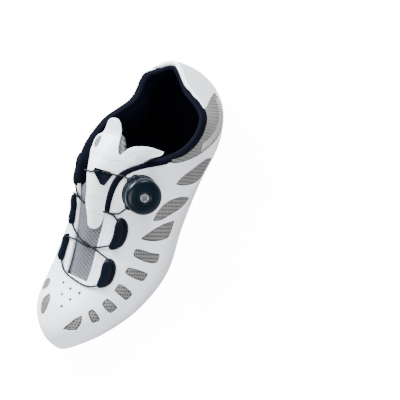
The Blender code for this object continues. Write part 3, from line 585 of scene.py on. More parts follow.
@dataclass
class Grid:
    """A sheet's grid: parameters a and b, flat places in mm, and the faces that exist.

    Args:
        a: First parameter of each point.
        b: Second parameter.
        flat: Flat places, shaped (rows, columns, 2).
        exists: Which cells exist, shaped (rows - 1, columns - 1).
        rim: Thickness in mm that a point's bare edges get, 0 for none.
    """

    a: np.ndarray
    b: np.ndarray
    flat: np.ndarray
    exists: np.ndarray
    rim: np.ndarray

    def clip(self, distance: Distance, thickness: float = 0.0, rounds: int = 3) -> None:
        """Keeps the cells where distance is positive and moves their border onto its zero line.

        Args:
            distance: Signed distance in mm of flat places.
            thickness: Thickness in mm shown along the new border.
            rounds: How often border points are moved.
        """
        value = distance(self.flat)
        cell = (value[:-1, :-1] + value[1:, :-1] + value[:-1, 1:] + value[1:, 1:]) / 4
        kept = self.exists & (cell > 0)
        dropped = self.exists & ~kept
        self.exists = kept
        border = self.touching(kept) & self.touching(dropped)
        rows, cols = np.nonzero(border)
        if not len(rows):
            return
        self.rim[border] = thickness
        steps = [np.gradient(grid, axis=axis) for grid in (self.a, self.b) for axis in (0, 1)]
        a_i, a_j, b_i, b_j = (step[rows, cols] for step in steps)
        flat_i = np.gradient(self.flat, axis=0)[rows, cols]
        flat_j = np.gradient(self.flat, axis=1)[rows, cols]
        area = flat_i[:, 0] * flat_j[:, 1] - flat_i[:, 1] * flat_j[:, 0]
        for _ in range(rounds):
            place = self.flat[rows, cols]
            here = distance(place)
            slope = np.stack([distance(place + step) - here for step in np.eye(2) * PROBE], -1) / PROBE
            move = -here[:, None] * slope / ((slope**2).sum(-1, keepdims=True) + 0.2)
            di = (move[:, 0] * flat_j[:, 1] - move[:, 1] * flat_j[:, 0]) / area
            dj = (flat_i[:, 0] * move[:, 1] - flat_i[:, 1] * move[:, 0]) / area
            di, dj = di.clip(-0.8, 0.8), dj.clip(-0.8, 0.8)
            self.a[rows, cols] += a_i * di + a_j * dj
            self.b[rows, cols] += b_i * di + b_j * dj
            self.flat[rows, cols] += flat_i * di[:, None] + flat_j * dj[:, None]

    @staticmethod
    def touching(cells: np.ndarray) -> np.ndarray:
        """Points that touch any of the given cells."""
        points = np.zeros((cells.shape[0] + 1, cells.shape[1] + 1), bool)
        points[:-1, :-1] |= cells
        points[1:, :-1] |= cells
        points[:-1, 1:] |= cells
        points[1:, 1:] |= cells
        return points


class MeshBook:
    """Collects points, normals, flat places and faces, and turns them into one object."""

    def __init__(self) -> None:
        self.points: list = []
        self.normals: list = []
        self.flats: list = []
        self.faces: list = []
        self.insets: list = []
        self.count = 0

    def add(
        self, points: np.ndarray, normals: np.ndarray, flats: np.ndarray, faces: np.ndarray,
        insets: Optional[np.ndarray] = None,
    ) -> None:
        """Adds points with their normals, flat places and insets in mm, and faces that number them from 0."""
        self.insets.append(np.full(len(points), FAR_INSET) if insets is None else insets)
        self.points.append(points)
        self.normals.append(normals)
        self.flats.append(flats)
        self.faces.append(faces + self.count)
        self.count += len(points)

    def add_sheet(
        self, grid: Grid, points: np.ndarray, normals: np.ndarray, flip: bool, radius: float = 0.3,
        underside: float = 0.0, insets: Optional[np.ndarray] = None,
    ) -> None:
        """Adds a clipped sheet, with a rolled edge along its bare rim.

        Args:
            grid: The clipped grid.
            points: Its points.
            normals: Its outward normals.
            flip: Whether rows and columns run the other way round.
            radius: Radius in mm of the rolled edge.
            underside: Depth in mm of an underside, 0 for none.
            insets: Distance in mm of each point from the window's outline.
        """
        rows, cols = np.nonzero(grid.exists)
        width = grid.a.shape[1]
        first = rows * width + cols
        quads = np.stack([first, first + width, first + width + 1, first + 1], 1)
        if flip:
            quads = quads[:, ::-1]
        used, inverse = np.unique(quads, return_inverse=True)
        quads = inverse.reshape(quads.shape)
        p, n = points.reshape(-1, 3)[used], normals.reshape(-1, 3)[used]
        f, rim = grid.flat.reshape(-1, 2)[used], grid.rim.reshape(-1)[used]
        self.add(p, n, f, quads, insets=None if insets is None else insets.reshape(-1)[used])
        if not rim.any():
            return
        if underside:
            self.add(p - n * underside * MM, -n, f, quads[:, ::-1])
        edges = np.concatenate([quads[:, [k, (k + 1) % 4]] for k in range(4)])
        keys = np.sort(edges, 1)
        _, index, counts = np.unique(keys, axis=0, return_index=True, return_counts=True)
        bare = edges[index[counts == 1]]
        bare = bare[(rim[bare] > 0).all(1)]
        if not len(bare):
            return
        away = np.zeros_like(p)
        lean = unit(np.cross(p[bare[:, 1]] - p[bare[:, 0]], n[bare[:, 0]]))
        np.add.at(away, bare[:, 0], lean)
        np.add.at(away, bare[:, 1], lean)
        names, local = np.unique(bare, return_inverse=True)
        local = local.reshape(bare.shape)
        out, up, base, depth = unit(away[names]), n[names], p[names], rim[names, None]
        layers = (
            (0, 0, up),
            (0.6 * radius, 0.25 * radius, unit(out + 2 * up)),
            (radius, radius, unit(2 * out + up)),
            (radius, depth, out),
        )
        ring = np.concatenate([base + (out * a - up * b) * MM for a, b, _ in layers])
        turned = np.concatenate([layer[2] for layer in layers])
        size = len(names)
        strip = np.stack([local[:, 1], local[:, 0], local[:, 0] + size, local[:, 1] + size], 1)
        quads = np.concatenate([strip + size * k for k in range(3)])
        self.add(ring, turned, np.tile(f[names], (4, 1)), quads)

    def build(self, name: str, material: bpy.types.Material) -> bpy.types.Object:
        """Makes the object, with its normals as given and its flat places as a UV map in metres."""
        points, normals = np.concatenate(self.points), np.concatenate(self.normals)
        faces, flats = np.concatenate(self.faces), np.concatenate(self.flats)
        mesh = bpy.data.meshes.new(name)
        mesh.from_pydata(points.tolist(), [], faces.tolist())
        uv = mesh.uv_layers.new(name="flat")
        corner = np.empty(len(mesh.loops), int)
        mesh.loops.foreach_get("vertex_index", corner)
        uv.data.foreach_set("uv", (flats[corner] * MM).ravel())
        # The inset attribute lets the mesh's material paint shade along the windows' edges.
        inset = mesh.attributes.new("inset", "FLOAT", "POINT")
        inset.data.foreach_set("value", np.concatenate(self.insets))
        mesh.materials.append(material)
        mesh.shade_smooth()
        mesh.normals_split_custom_set_from_vertices(normals.tolist())
        mesh.update()
        return place_object(name, mesh)


def place_object(name: str, data: bpy.types.ID) -> bpy.types.Object:
    """Adds an object to the scene and lets it ride on the shoe's one body."""
    piece = bpy.data.objects.new(name, data)
    bpy.context.scene.collection.objects.link(piece)
    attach(piece, "root")
    return piece


def end_builder(builder: bmesh.types.BMesh, name: str, material: bpy.types.Material) -> bpy.types.Object:
    """Makes a smooth object of a builder's faces, turned outward."""
    bmesh.ops.recalc_face_normals(builder, faces=builder.faces)
    mesh = bpy.data.meshes.new(name)
    builder.to_mesh(mesh)
    builder.free()
    mesh.shade_smooth()
    mesh.materials.append(material)
    return place_object(name, mesh)


class TubeBook:
    """Collects small closed tubes and turns them into one object."""

    def __init__(self) -> None:
        self.builder = bmesh.new()

    def add(self, rings: list) -> None:
        """Adds a tube from rings of points, closed at both ends."""
        rings = [[self.builder.verts.new(point) for point in ring] for ring in rings]
        size = len(rings[0])
        for low, high in zip(rings, rings[1:]):
            for j in range(size):
                k = (j + 1) % size
                self.builder.faces.new([low[j], high[j], high[k], low[k]])
        self.builder.faces.new(rings[0][::-1])
        self.builder.faces.new(rings[-1])

    def build(self, name: str, material: bpy.types.Material) -> bpy.types.Object:
        """Makes the object from all tubes."""
        piece = end_builder(self.builder, name, material)
        piece.data.uv_layers.new(name="flat")
        return piece


def lofted(name: str, rings: list, material: bpy.types.Material, caps: bool = True) -> bpy.types.Object:
    """Makes a smooth solid from closed rings of points, with flat places along and round it.

    Args:
        name: The object's name.
        rings: Rings of equal count.
        material: Its material.
        caps: Whether both ends are closed.

    Returns:
        The new object.
    """
    rings = np.asarray(rings, float)
    count, size = rings.shape[:2]
    builder = bmesh.new()
    verts = [[builder.verts.new(p) for p in ring] for ring in rings]
    uv = builder.loops.layers.uv.new("flat")
    along = np.concatenate([[0], np.cumsum(np.linalg.norm(np.diff(rings, axis=0), axis=-1).mean(1))])
    for i in range(count - 1):
        for j in range(size):
            k = (j + 1) % size
            face = builder.faces.new([verts[i][j], verts[i + 1][j], verts[i + 1][k], verts[i][k]])
            across = (j / size, j / size, (j + 1) / size, (j + 1) / size)
            for loop, a, b in zip(face.loops, (along[i], along[i + 1], along[i + 1], along[i]), across):
                loop[uv].uv = (a, b * 0.01)
    if caps:
        builder.faces.new(verts[0][::-1])
        builder.faces.new(verts[-1])
    piece = end_builder(builder, name, material)
    piece.data.set_sharp_from_angle(angle=math.radians(SHARP_DEGREES))
    return piece


def search_tree(*pieces: bpy.types.Object) -> BVHTree:
    """Makes a search tree over some pieces."""
    points, faces = [], []
    for piece in pieces:
        start = len(points)
        points += [v.co.copy() for v in piece.data.vertices]
        faces += [[start + i for i in face.vertices] for face in piece.data.polygons]
    return BVHTree.FromPolygons(points, faces)


class NodeSheet:
    """Adds and links the nodes of one tree."""

    def __init__(self, tree: bpy.types.NodeTree) -> None:
        self.tree = tree

    def add(self, kind: str, **settings) -> bpy.types.Node:
        """Adds a node. Settings name its properties, or its inputs by name with spaces as underscores."""
        node = self.tree.nodes.new(kind)
        for name, value in settings.items():
            if hasattr(node, name):
                setattr(node, name, value)
                continue
            socket = next(s for s in node.inputs if s.enabled and s.name == name.replace("_", " "))
            self.feed(value, socket)
        return node

    def feed(self, value, socket: bpy.types.NodeSocket) -> None:
        """Links an output to a socket, or sets the socket's value."""
        if isinstance(value, bpy.types.NodeSocket):
            self.tree.links.new(value, socket)
        else:
            socket.default_value = value

    def math(self, operation: str, *values) -> bpy.types.NodeSocket:
        """Adds a math node and returns its output."""
        node = self.tree.nodes.new("ShaderNodeMath")
        node.operation = operation
        for value, socket in zip(values, node.inputs):
            self.feed(value, socket)
        return node.outputs[0]

    def mix(self, factor, first, second) -> bpy.types.NodeSocket:
        """Mixes two colours."""
        node = self.tree.nodes.new("ShaderNodeMix")
        node.data_type = "RGBA"
        for value, socket in ((factor, node.inputs[0]), (first, node.inputs[6]), (second, node.inputs[7])):
            self.feed(value, socket)
        return node.outputs[2]

    def wave(self, turns) -> bpy.types.NodeSocket:
        """Sine wave of a number of turns."""
        return self.math("SINE", self.math("MULTIPLY", turns, 2 * math.pi))

    def bump(self, strength, distance: float, height, normal=None) -> bpy.types.NodeSocket:
        """Adds a bump node, over another normal where one is given, and returns its normal."""
        node = self.add("ShaderNodeBump", Strength=strength, Distance=distance, Height=height)
        if normal is not None:
            self.feed(normal, node.inputs["Normal"])
        return node.outputs[0]

    def flat_place(self) -> tuple:
        """Parts of the flat place in metres, along and round."""
        flat = self.add("ShaderNodeUVMap", uv_map="flat").outputs[0]
        return tuple(self.add("ShaderNodeSeparateXYZ", Vector=flat).outputs)[:2]

    def ramp(self, value, low: float, high: float) -> bpy.types.NodeSocket:
        """Eases a value from 0 at low to 1 at high."""
        node = self.add("ShaderNodeMapRange", interpolation_type="SMOOTHSTEP", From_Min=low, From_Max=high)
        self.feed(value, node.inputs["Value"])
        return node.outputs["Result"]


class EffectGroups:
    """Node groups that the materials share. They give masks, values and normals only."""

    def __init__(self, last: Last) -> None:
        self.last = last
        self.knit = self.make_knit()
        self.grain = self.make_grain()
        self.braid = self.make_braid()
        self.clouds_and_floor_shade = self.make_clouds_and_floor_shade()
        self.pinholes = self.make_pinholes()

    @staticmethod
    def start(name: str, inputs: dict, *outputs: str) -> tuple:
        """Starts a group with float inputs and the named outputs, which are floats apart from Normal."""
        group = bpy.data.node_groups.new(name, "ShaderNodeTree")
        for key, value in inputs.items():
            socket = group.interface.new_socket(key, in_out="INPUT", socket_type="NodeSocketFloat")
            socket.default_value = value
        for key in outputs:
            kind = "NodeSocketVector" if key == "Normal" else "NodeSocketFloat"
            group.interface.new_socket(key, in_out="OUTPUT", socket_type=kind)
        result = group.nodes.new("NodeGroupOutput").inputs
        return group, NodeSheet(group), group.nodes.new("NodeGroupInput").outputs, result

    def make_knit(self) -> bpy.types.NodeTree:
        """Knitted mesh: rows of round holes between threads, over the flat places."""
        inputs = {"Pitch": 0.0016, "Strength": 0.6, "Shear": 0.5}
        group, sheet, given, result = self.start("KnitMesh", inputs, "Hole", "Normal")
        x, y = (sheet.math("DIVIDE", part, given["Pitch"]) for part in sheet.flat_place())
        wander = sheet.add("ShaderNodeTexNoise", Scale=260.0, Detail=2.0).outputs[0]
        x = sheet.math("ADD", x, sheet.math("MULTIPLY", wander, 0.55))
        shifted = sheet.math("ADD", x, sheet.math("MULTIPLY", y, given["Shear"]))
        hole = sheet.ramp(sheet.math("MULTIPLY", sheet.wave(shifted), sheet.wave(y)), 0.15, 0.55)
        thread = sheet.math("SUBTRACT", 1.0, hole)
        sheet.feed(hole, result["Hole"])
        sheet.feed(sheet.bump(given["Strength"], 0.0004, thread), result["Normal"])
        return group

    def make_grain(self) -> bpy.types.NodeTree:
        """Fine leather grain with soft long creases."""
        inputs = {"Scale": 900.0, "Strength": 0.12, "Creases": 0.25}
        group, sheet, given, result = self.start("FineGrain", inputs, "Normal")
        place = sheet.add("ShaderNodeTexCoord").outputs["Object"]
        cells = sheet.add("ShaderNodeTexVoronoi", Vector=place, Scale=given["Scale"]).outputs[0]
        fine = sheet.bump(given["Strength"], 0.0002, cells)
        squash = sheet.add("ShaderNodeMapping", Vector=place, Scale=(70.0, 22.0, 30.0)).outputs[0]
        folds = sheet.add("ShaderNodeTexNoise", Vector=squash, Scale=1.0, Detail=3.0).outputs[0]
        sheet.feed(sheet.bump(given["Creases"], 0.002, folds, fine), result["Normal"])
        return group

    def make_braid(self) -> bpy.types.NodeTree:
        """Diagonal braid or ribbed cloth over the flat places."""
        inputs = {"Pitch": 0.0011, "Strength": 0.5}
        group, sheet, given, result = self.start("Braid", inputs, "Height", "Normal")
        x, y = sheet.flat_place()
        x = sheet.math("DIVIDE", x, given["Pitch"])
        y = sheet.math("MULTIPLY", y, 300.0)
        strands = [sheet.wave(sheet.math(way, x, y)) for way in ("ADD", "SUBTRACT")]
        height = sheet.math("MAXIMUM", *strands)
        sheet.feed(height, result["Height"])
        sheet.feed(sheet.bump(given["Strength"], 0.0003, height), result["Normal"])
        return group

    def make_clouds_and_floor_shade(self) -> bpy.types.NodeTree:
        """Soft random clouds of darker tone, and a little painted shade near the floor."""
        inputs = {"Scale": 30.0, "Low": 0.0, "High": 0.05}
        group, sheet, given, result = self.start("Clouds", inputs, "Cloud", "Floor")
        place = sheet.add("ShaderNodeTexCoord").outputs["Object"]
        cloud = sheet.add("ShaderNodeTexNoise", Vector=place, Scale=given["Scale"], Detail=4.0).outputs[0]
        height = sheet.add("ShaderNodeSeparateXYZ", Vector=place).outputs[2]
        # Painted shade: 1 at the floor, falling to 0 at the height High.
        near = sheet.add("ShaderNodeMapRange", Value=height, From_Min=given["High"], From_Max=given["Low"])
        sheet.feed(cloud, result["Cloud"])
        sheet.feed(near.outputs["Result"], result["Floor"])
        return group

    def make_pinholes(self) -> bpy.types.NodeTree:
        """The few small holes punched over the toes, seen from above."""
        group, sheet, given, result = self.start("Pinholes", {"Radius": 0.0014}, "Hole")
        level = sheet.add("ShaderNodeVectorMath", operation="MULTIPLY")
        sheet.feed(sheet.add("ShaderNodeTexCoord").outputs["Object"], level.inputs[0])
        level.inputs[1].default_value = (1.0, 1.0, 0.0)
        nearest = 1.0
        for u, y in PERFORATIONS:
            gap = sheet.add("ShaderNodeVectorMath", operation="DISTANCE")
            sheet.feed(level.outputs[0], gap.inputs[0])
            x = self.last.heel_back + self.last.length * u
            gap.inputs[1].default_value = (x, self.last.ball * y, 0.0)
            nearest = sheet.math("MINIMUM", gap.outputs["Value"], nearest)
        share = sheet.math("DIVIDE", nearest, given["Radius"])
        sheet.feed(sheet.math("SUBTRACT", 1.0, sheet.ramp(share, 0.75, 1.1)), result["Hole"])
        return group


class Effect(Enum):
    """The shared group that shapes a material, by its name in EffectGroups."""

    KNIT = "knit"
    GRAIN = "grain"
    BRAID = "braid"


@dataclass(frozen=True)
class Finish:
    """One material's values.

    Args:
        name: The material's name.
        colour: Main colour.
        second: Colour of holes and random clouds, and of painted shade by the floor, window edges and low
            places.
        roughness: Roughness of the surface.
        effect: Which shared group shapes it.
        pitch: Size of the effect in metres, or its scale.
        strength: Strength of the bump.
        coat: Weight of a clear coat.
        metallic: Metallic share.
        specular: Level of the mirror reflection.
        punched: Whether the small holes over the toes go through it.
    """

    name: str
    colour: tuple
    second: tuple
    roughness: float
    effect: Effect
    pitch: float
    strength: float
    coat: float = 0.0
    metallic: float = 0.0
    specular: float = 0.5
    punched: bool = False


WHITE = Finish(
    "white_synthetic", (0.82, 0.845, 0.90), (0.71, 0.72, 0.76), 0.36,
    Effect.GRAIN, 900.0, 0.10, coat=0.10, punched=True,
)
RIB = Finish("ribbed_film", (0.66, 0.65, 0.63), (0.50, 0.49, 0.48), 0.40, Effect.GRAIN, 1500.0, 0.10)
OVERLAY = Finish(
    "overlay_synthetic", (0.84, 0.85, 0.89), (0.74, 0.74, 0.77), 0.44, Effect.GRAIN, 1100.0, 0.10,
)
MESH = Finish(
    "silver_mesh", (0.21, 0.207, 0.20), (0.03, 0.03, 0.028), 0.45, Effect.KNIT, 0.0034, 0.9, metallic=0.3,
)
TONGUE_MESH = Finish(
    "tongue_mesh", (0.16, 0.165, 0.18), (0.035, 0.037, 0.043), 0.5,
    Effect.KNIT, 0.0030, 0.9, metallic=0.2,
)
LINING = Finish(
    "black_lining", (0.003, 0.004, 0.008), (0.001, 0.001, 0.002), 0.9,
    Effect.BRAID, 0.0012, 0.25, specular=0.05,
)
BINDING = Finish(
    "black_binding", (0.003, 0.004, 0.009), (0.001, 0.001, 0.002), 0.8,
    Effect.BRAID, 0.0010, 0.3, specular=0.05,
)
GUIDE = Finish(
    "guide_plastic", (0.002, 0.005, 0.010), (0.002, 0.002, 0.004), 0.42,
    Effect.GRAIN, 1500.0, 0.08, specular=0.10,
)
DIAL = Finish(
    "dial_plastic", (0.001, 0.005, 0.010), (0.001, 0.003, 0.006), 0.30,
    Effect.GRAIN, 1800.0, 0.03, specular=0.3,
)
CAP = Finish(
    "cap_metal", (0.30, 0.31, 0.32), (0.18, 0.18, 0.19), 0.38, Effect.GRAIN, 2500.0, 0.12, metallic=0.9,
)
LACE = Finish(
    "lace_cord", (0.004, 0.005, 0.008), (0.001, 0.001, 0.002), 0.5,
    Effect.BRAID, 0.0010, 0.6, specular=0.3,
)
SOLE = Finish(
    "sole_plastic", (0.025, 0.026, 0.030), (0.015, 0.015, 0.017), 0.45, Effect.GRAIN, 700.0, 0.15,
)
THREAD = Finish("stitch_thread", (0.45, 0.45, 0.48), (0.28, 0.28, 0.30), 0.6, Effect.BRAID, 0.0006, 0.3)
FOOTBED = Finish(
    "footbed_cloth", (0.003, 0.004, 0.008), (0.001, 0.001, 0.002), 0.9,
    Effect.BRAID, 0.0014, 0.3, specular=0.1,
)

HOLE_COLOUR = (0.01, 0.01, 0.015, 1.0)


class Wardrobe:
    """Makes each material once from its finish."""

    def __init__(self, last: Last) -> None:
        self.groups = EffectGroups(last)
        self.made: dict = {}

    def __getitem__(self, finish: Finish) -> bpy.types.Material:
        if finish.name not in self.made:
            self.made[finish.name] = self.make(finish)
        return self.made[finish.name]

    @staticmethod
    def shade(sheet: NodeSheet, kind: Effect, effect, cloud) -> bpy.types.NodeSocket:
        """Mask of a material's second colour.

        Args:
            sheet: The material's nodes.
            kind: Its effect.
            effect: Outputs of the effect's group.
            cloud: Outputs of the group of random clouds and painted floor shade.
        """
        if kind is Effect.KNIT:
            mask = sheet.math("MAXIMUM", effect["Hole"], sheet.math("MULTIPLY", cloud["Cloud"], 0.35))
            # Painted shade: the mesh darkens within about 1.7 mm of each window's edge, as if shaded by the
            # skin's cut edge.
            inset = sheet.add("ShaderNodeAttribute", attribute_name="inset").outputs["Fac"]
            return sheet.math("MAXIMUM", mask, sheet.math("SUBTRACT", 1.0, sheet.ramp(inset, 0.5, 1.7)))
        if kind is Effect.BRAID:
            # Painted shade: the braid's low places between strands take the darker colour.
            return sheet.ramp(sheet.math("MULTIPLY", effect["Height"], -1.0), -0.6, 0.6)
        # Painted shade: surfaces near the floor take more of the darker colour.
        near = sheet.math("MULTIPLY", cloud["Floor"], 0.35)
        return sheet.math("MAXIMUM", sheet.ramp(cloud["Cloud"], 0.35, 0.95), near)

    def make(self, finish: Finish) -> bpy.types.Material:
        """Builds a material around the Principled shader."""
        material = bpy.data.materials.new(finish.name)
        material.use_nodes = True
        sheet = NodeSheet(material.node_tree)
        shader = material.node_tree.nodes["Principled BSDF"]
        cloud = sheet.add("ShaderNodeGroup", node_tree=self.groups.clouds_and_floor_shade).outputs
        effect = sheet.add("ShaderNodeGroup", node_tree=getattr(self.groups, finish.effect.value))
        effect.inputs["Strength"].default_value = finish.strength
        effect.inputs["Scale" if finish.effect is Effect.GRAIN else "Pitch"].default_value = finish.pitch
        shade = self.shade(sheet, finish.effect, effect.outputs, cloud)
        colour = sheet.mix(shade, (*finish.colour, 1.0), (*finish.second, 1.0))
        if finish.punched:
            holes = sheet.add("ShaderNodeGroup", node_tree=self.groups.pinholes).outputs["Hole"]
            colour = sheet.mix(holes, colour, HOLE_COLOUR)
        spread = sheet.math("MULTIPLY", cloud["Cloud"], 0.10)
        edge = min(1.0, 0.2 + 1.6 * finish.specular)
        values = {
            "Base Color": colour,
            "Roughness": sheet.math("ADD", finish.roughness - 0.05, spread),
            "Normal": effect.outputs["Normal"],
            "Metallic": finish.metallic,
            "Specular IOR Level": finish.specular,
            "Specular Tint": (edge, edge, edge, 1.0),
            "Coat Weight": finish.coat,
            "Coat Roughness": 0.2,
        }
        for name, value in values.items():
            sheet.feed(value, shader.inputs[name])
        return material


@dataclass
class Part:
    """A part of the shoe.

    Args:
        last: The shoe's form.
        wardrobe: The materials.
    """

    last: Last
    wardrobe: Wardrobe


class GridSize(NamedTuple):
    """Fineness of a side's grid: spacing along it in metres, columns up to the edge and over the vamp."""

    spacing: float
    columns: int
    vamp: int


SKIN_GRID = GridSize(1.15 * MM, 92, 18)
NET_GRID = GridSize(1.5 * MM, 70, 13)
INNER_GRID = GridSize(4 * MM, 24, 5)
# Length shares between which the binding covers the skin's edge
BOUND = {Side.LATERAL: (0.385, 0.600), Side.MEDIAL: (0.070, 0.555)}


@dataclass
class Upper(Part):
    """The upper's skin with its cut windows, the mesh behind them and the lining.

    Args:
        skin_depth: Depth in mm of a window's edge.
        edge_depth: Depth in mm of the throat's edge.
        net_overlap: How far in mm the mesh runs on behind the skin.
        tuck: How far in mm the skin ends below the binding's edge.
    """

    skin_depth: float = 0.9
    edge_depth: float = 2.5
    net_overlap: float = 2.5
    tuck: float = 1.2

    def windows(self, side: Side) -> list:
        """Flat outlines of all cuts of one side."""
        cuts = WINDOWS if side is Side.LATERAL else WINDOWS[:-3] + MEDIAL_TOE
        cuts = cuts + (ANKLE_PANEL,)
        return [rounded(np.array([self.last.flat(u, t, side) for u, t in cut.corners])) for cut in cuts]

    def side_grid(self, side: Side, size: GridSize) -> Grid:
        """Grid of one side, up to the throat's edge and over the ridge in front of the throat."""
        s = self.last.even_stations(side, size.spacing)
        t, way, edge, limits = self.last.edge_ways(s, side)
        rows = []
        for top, limit, row in zip(edge, limits, way):
            lower = np.interp(np.linspace(0, limit, size.columns), row, t)
            upper = np.interp(np.linspace(limit, row[-1], size.vamp + 1)[1:], row, t)
            lower[-1], upper[-1] = top, 1.0
            rows.append(np.concatenate([lower, upper]))
        b = np.array(rows)
        a = np.repeat(s[:, None], b.shape[1], 1)
        girths = np.array([np.interp(girth, t, row) for girth, row in zip(b, way)])
        flat = np.stack([self.last.along(a) * self.last.length / MM, girths], -1)
        exists = np.ones((len(s) - 1, b.shape[1] - 1), bool)
        throat = int(np.argmin(abs(self.last.along(s) - THROAT_FRONT)))
        exists[:throat, size.columns - 1 :] = False
        rim = np.zeros(b.shape)
        rim[: throat + 1, size.columns - 1] = self.edge_depth
        rim[throat, size.columns - 1 :] = self.edge_depth
        return Grid(a, b, flat, exists, rim)

    def trim(self, side: Side) -> Distance:
        """Distance in mm below the binding, which covers the skin's edge as far as it runs."""
        start, end = BOUND[side]
        u = np.linspace(0, 1, 300)
        limit = self.last.edge_ways(self.last.station(u), side)[3]
        bound = smooth_step(u, start, start + 0.02) * (1 - smooth_step(u, end - 0.01, end))
        limit = limit - self.tuck * bound + UNTRIMMED * (u > end)
        return lambda flat: np.interp(flat[..., 0], u * self.last.length / MM, limit) - flat[..., 1]

    def surface(self, grid: Grid, side: Side, height: float) -> tuple:
        """Points of a grid at a height in mm over the outer form, with their outward normals."""
        girth = grid.b.clip(0, 1)
        normals = self.last.normal(grid.a, girth, side)
        return self.last.point(grid.a, girth, side) + normals * height * MM, normals

    def build(self) -> dict:
        """Builds the upper's pieces and returns them by name."""
        skin, net, inner = MeshBook(), MeshBook(), MeshBook()
        for side in Side:
            cuts, trim = self.windows(side), self.trim(side)
            flip = side is Side.LATERAL
            grid = self.side_grid(side, SKIN_GRID)
            for cut in cuts:
                grid.clip(lambda flat, cut=cut: outline_distance(flat, cut), self.skin_depth)
            grid.clip(trim, self.edge_depth)
            skin.add_sheet(grid, *self.surface(grid, side, 0.0), flip)

            def inside(flat: np.ndarray) -> np.ndarray:
                """Distance in mm inside the nearest cut."""
                return -np.min([outline_distance(flat, cut) for cut in cuts], axis=0)

            grid = self.side_grid(side, NET_GRID)
            grid.rim[:] = 0
            grid.clip(lambda flat: self.net_overlap + inside(flat), rounds=0)
            grid.clip(trim, rounds=1)
            points, normals = self.surface(grid, side, -0.8 * self.skin_depth)
            net.add_sheet(grid, points, normals, flip, insets=inside(grid.flat))
            grid = self.side_grid(side, INNER_GRID)
            grid.rim[:] = 0
            points, normals = self.surface(grid, side, -self.last.wall / MM)
            inner.add_sheet(grid, points, -normals, not flip)
        pieces = {
            "upper_skin": skin.build("upper_skin", self.wardrobe[WHITE]),
            "upper_mesh": net.build("upper_mesh", self.wardrobe[MESH]),
            "upper_inner": inner.build("upper_inner", self.wardrobe[LINING]),
        }
        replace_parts(pieces["upper_skin"], "upper")
        pieces["upper_skin"]
        pieces["upper_mesh"]
        pieces["upper_inner"]
        return pieces


class CollarRun(NamedTuple):
    """One side of the collar in length shares: where the heel's part fades, the binding's start and end."""

    heel: tuple
    start: float
    end: float


COLLAR = {
    Side.LATERAL: CollarRun((0.10, 0.15), 0.378, 0.603),
    Side.MEDIAL: CollarRun((0.03, 0.07), 0.060, 0.558),
}


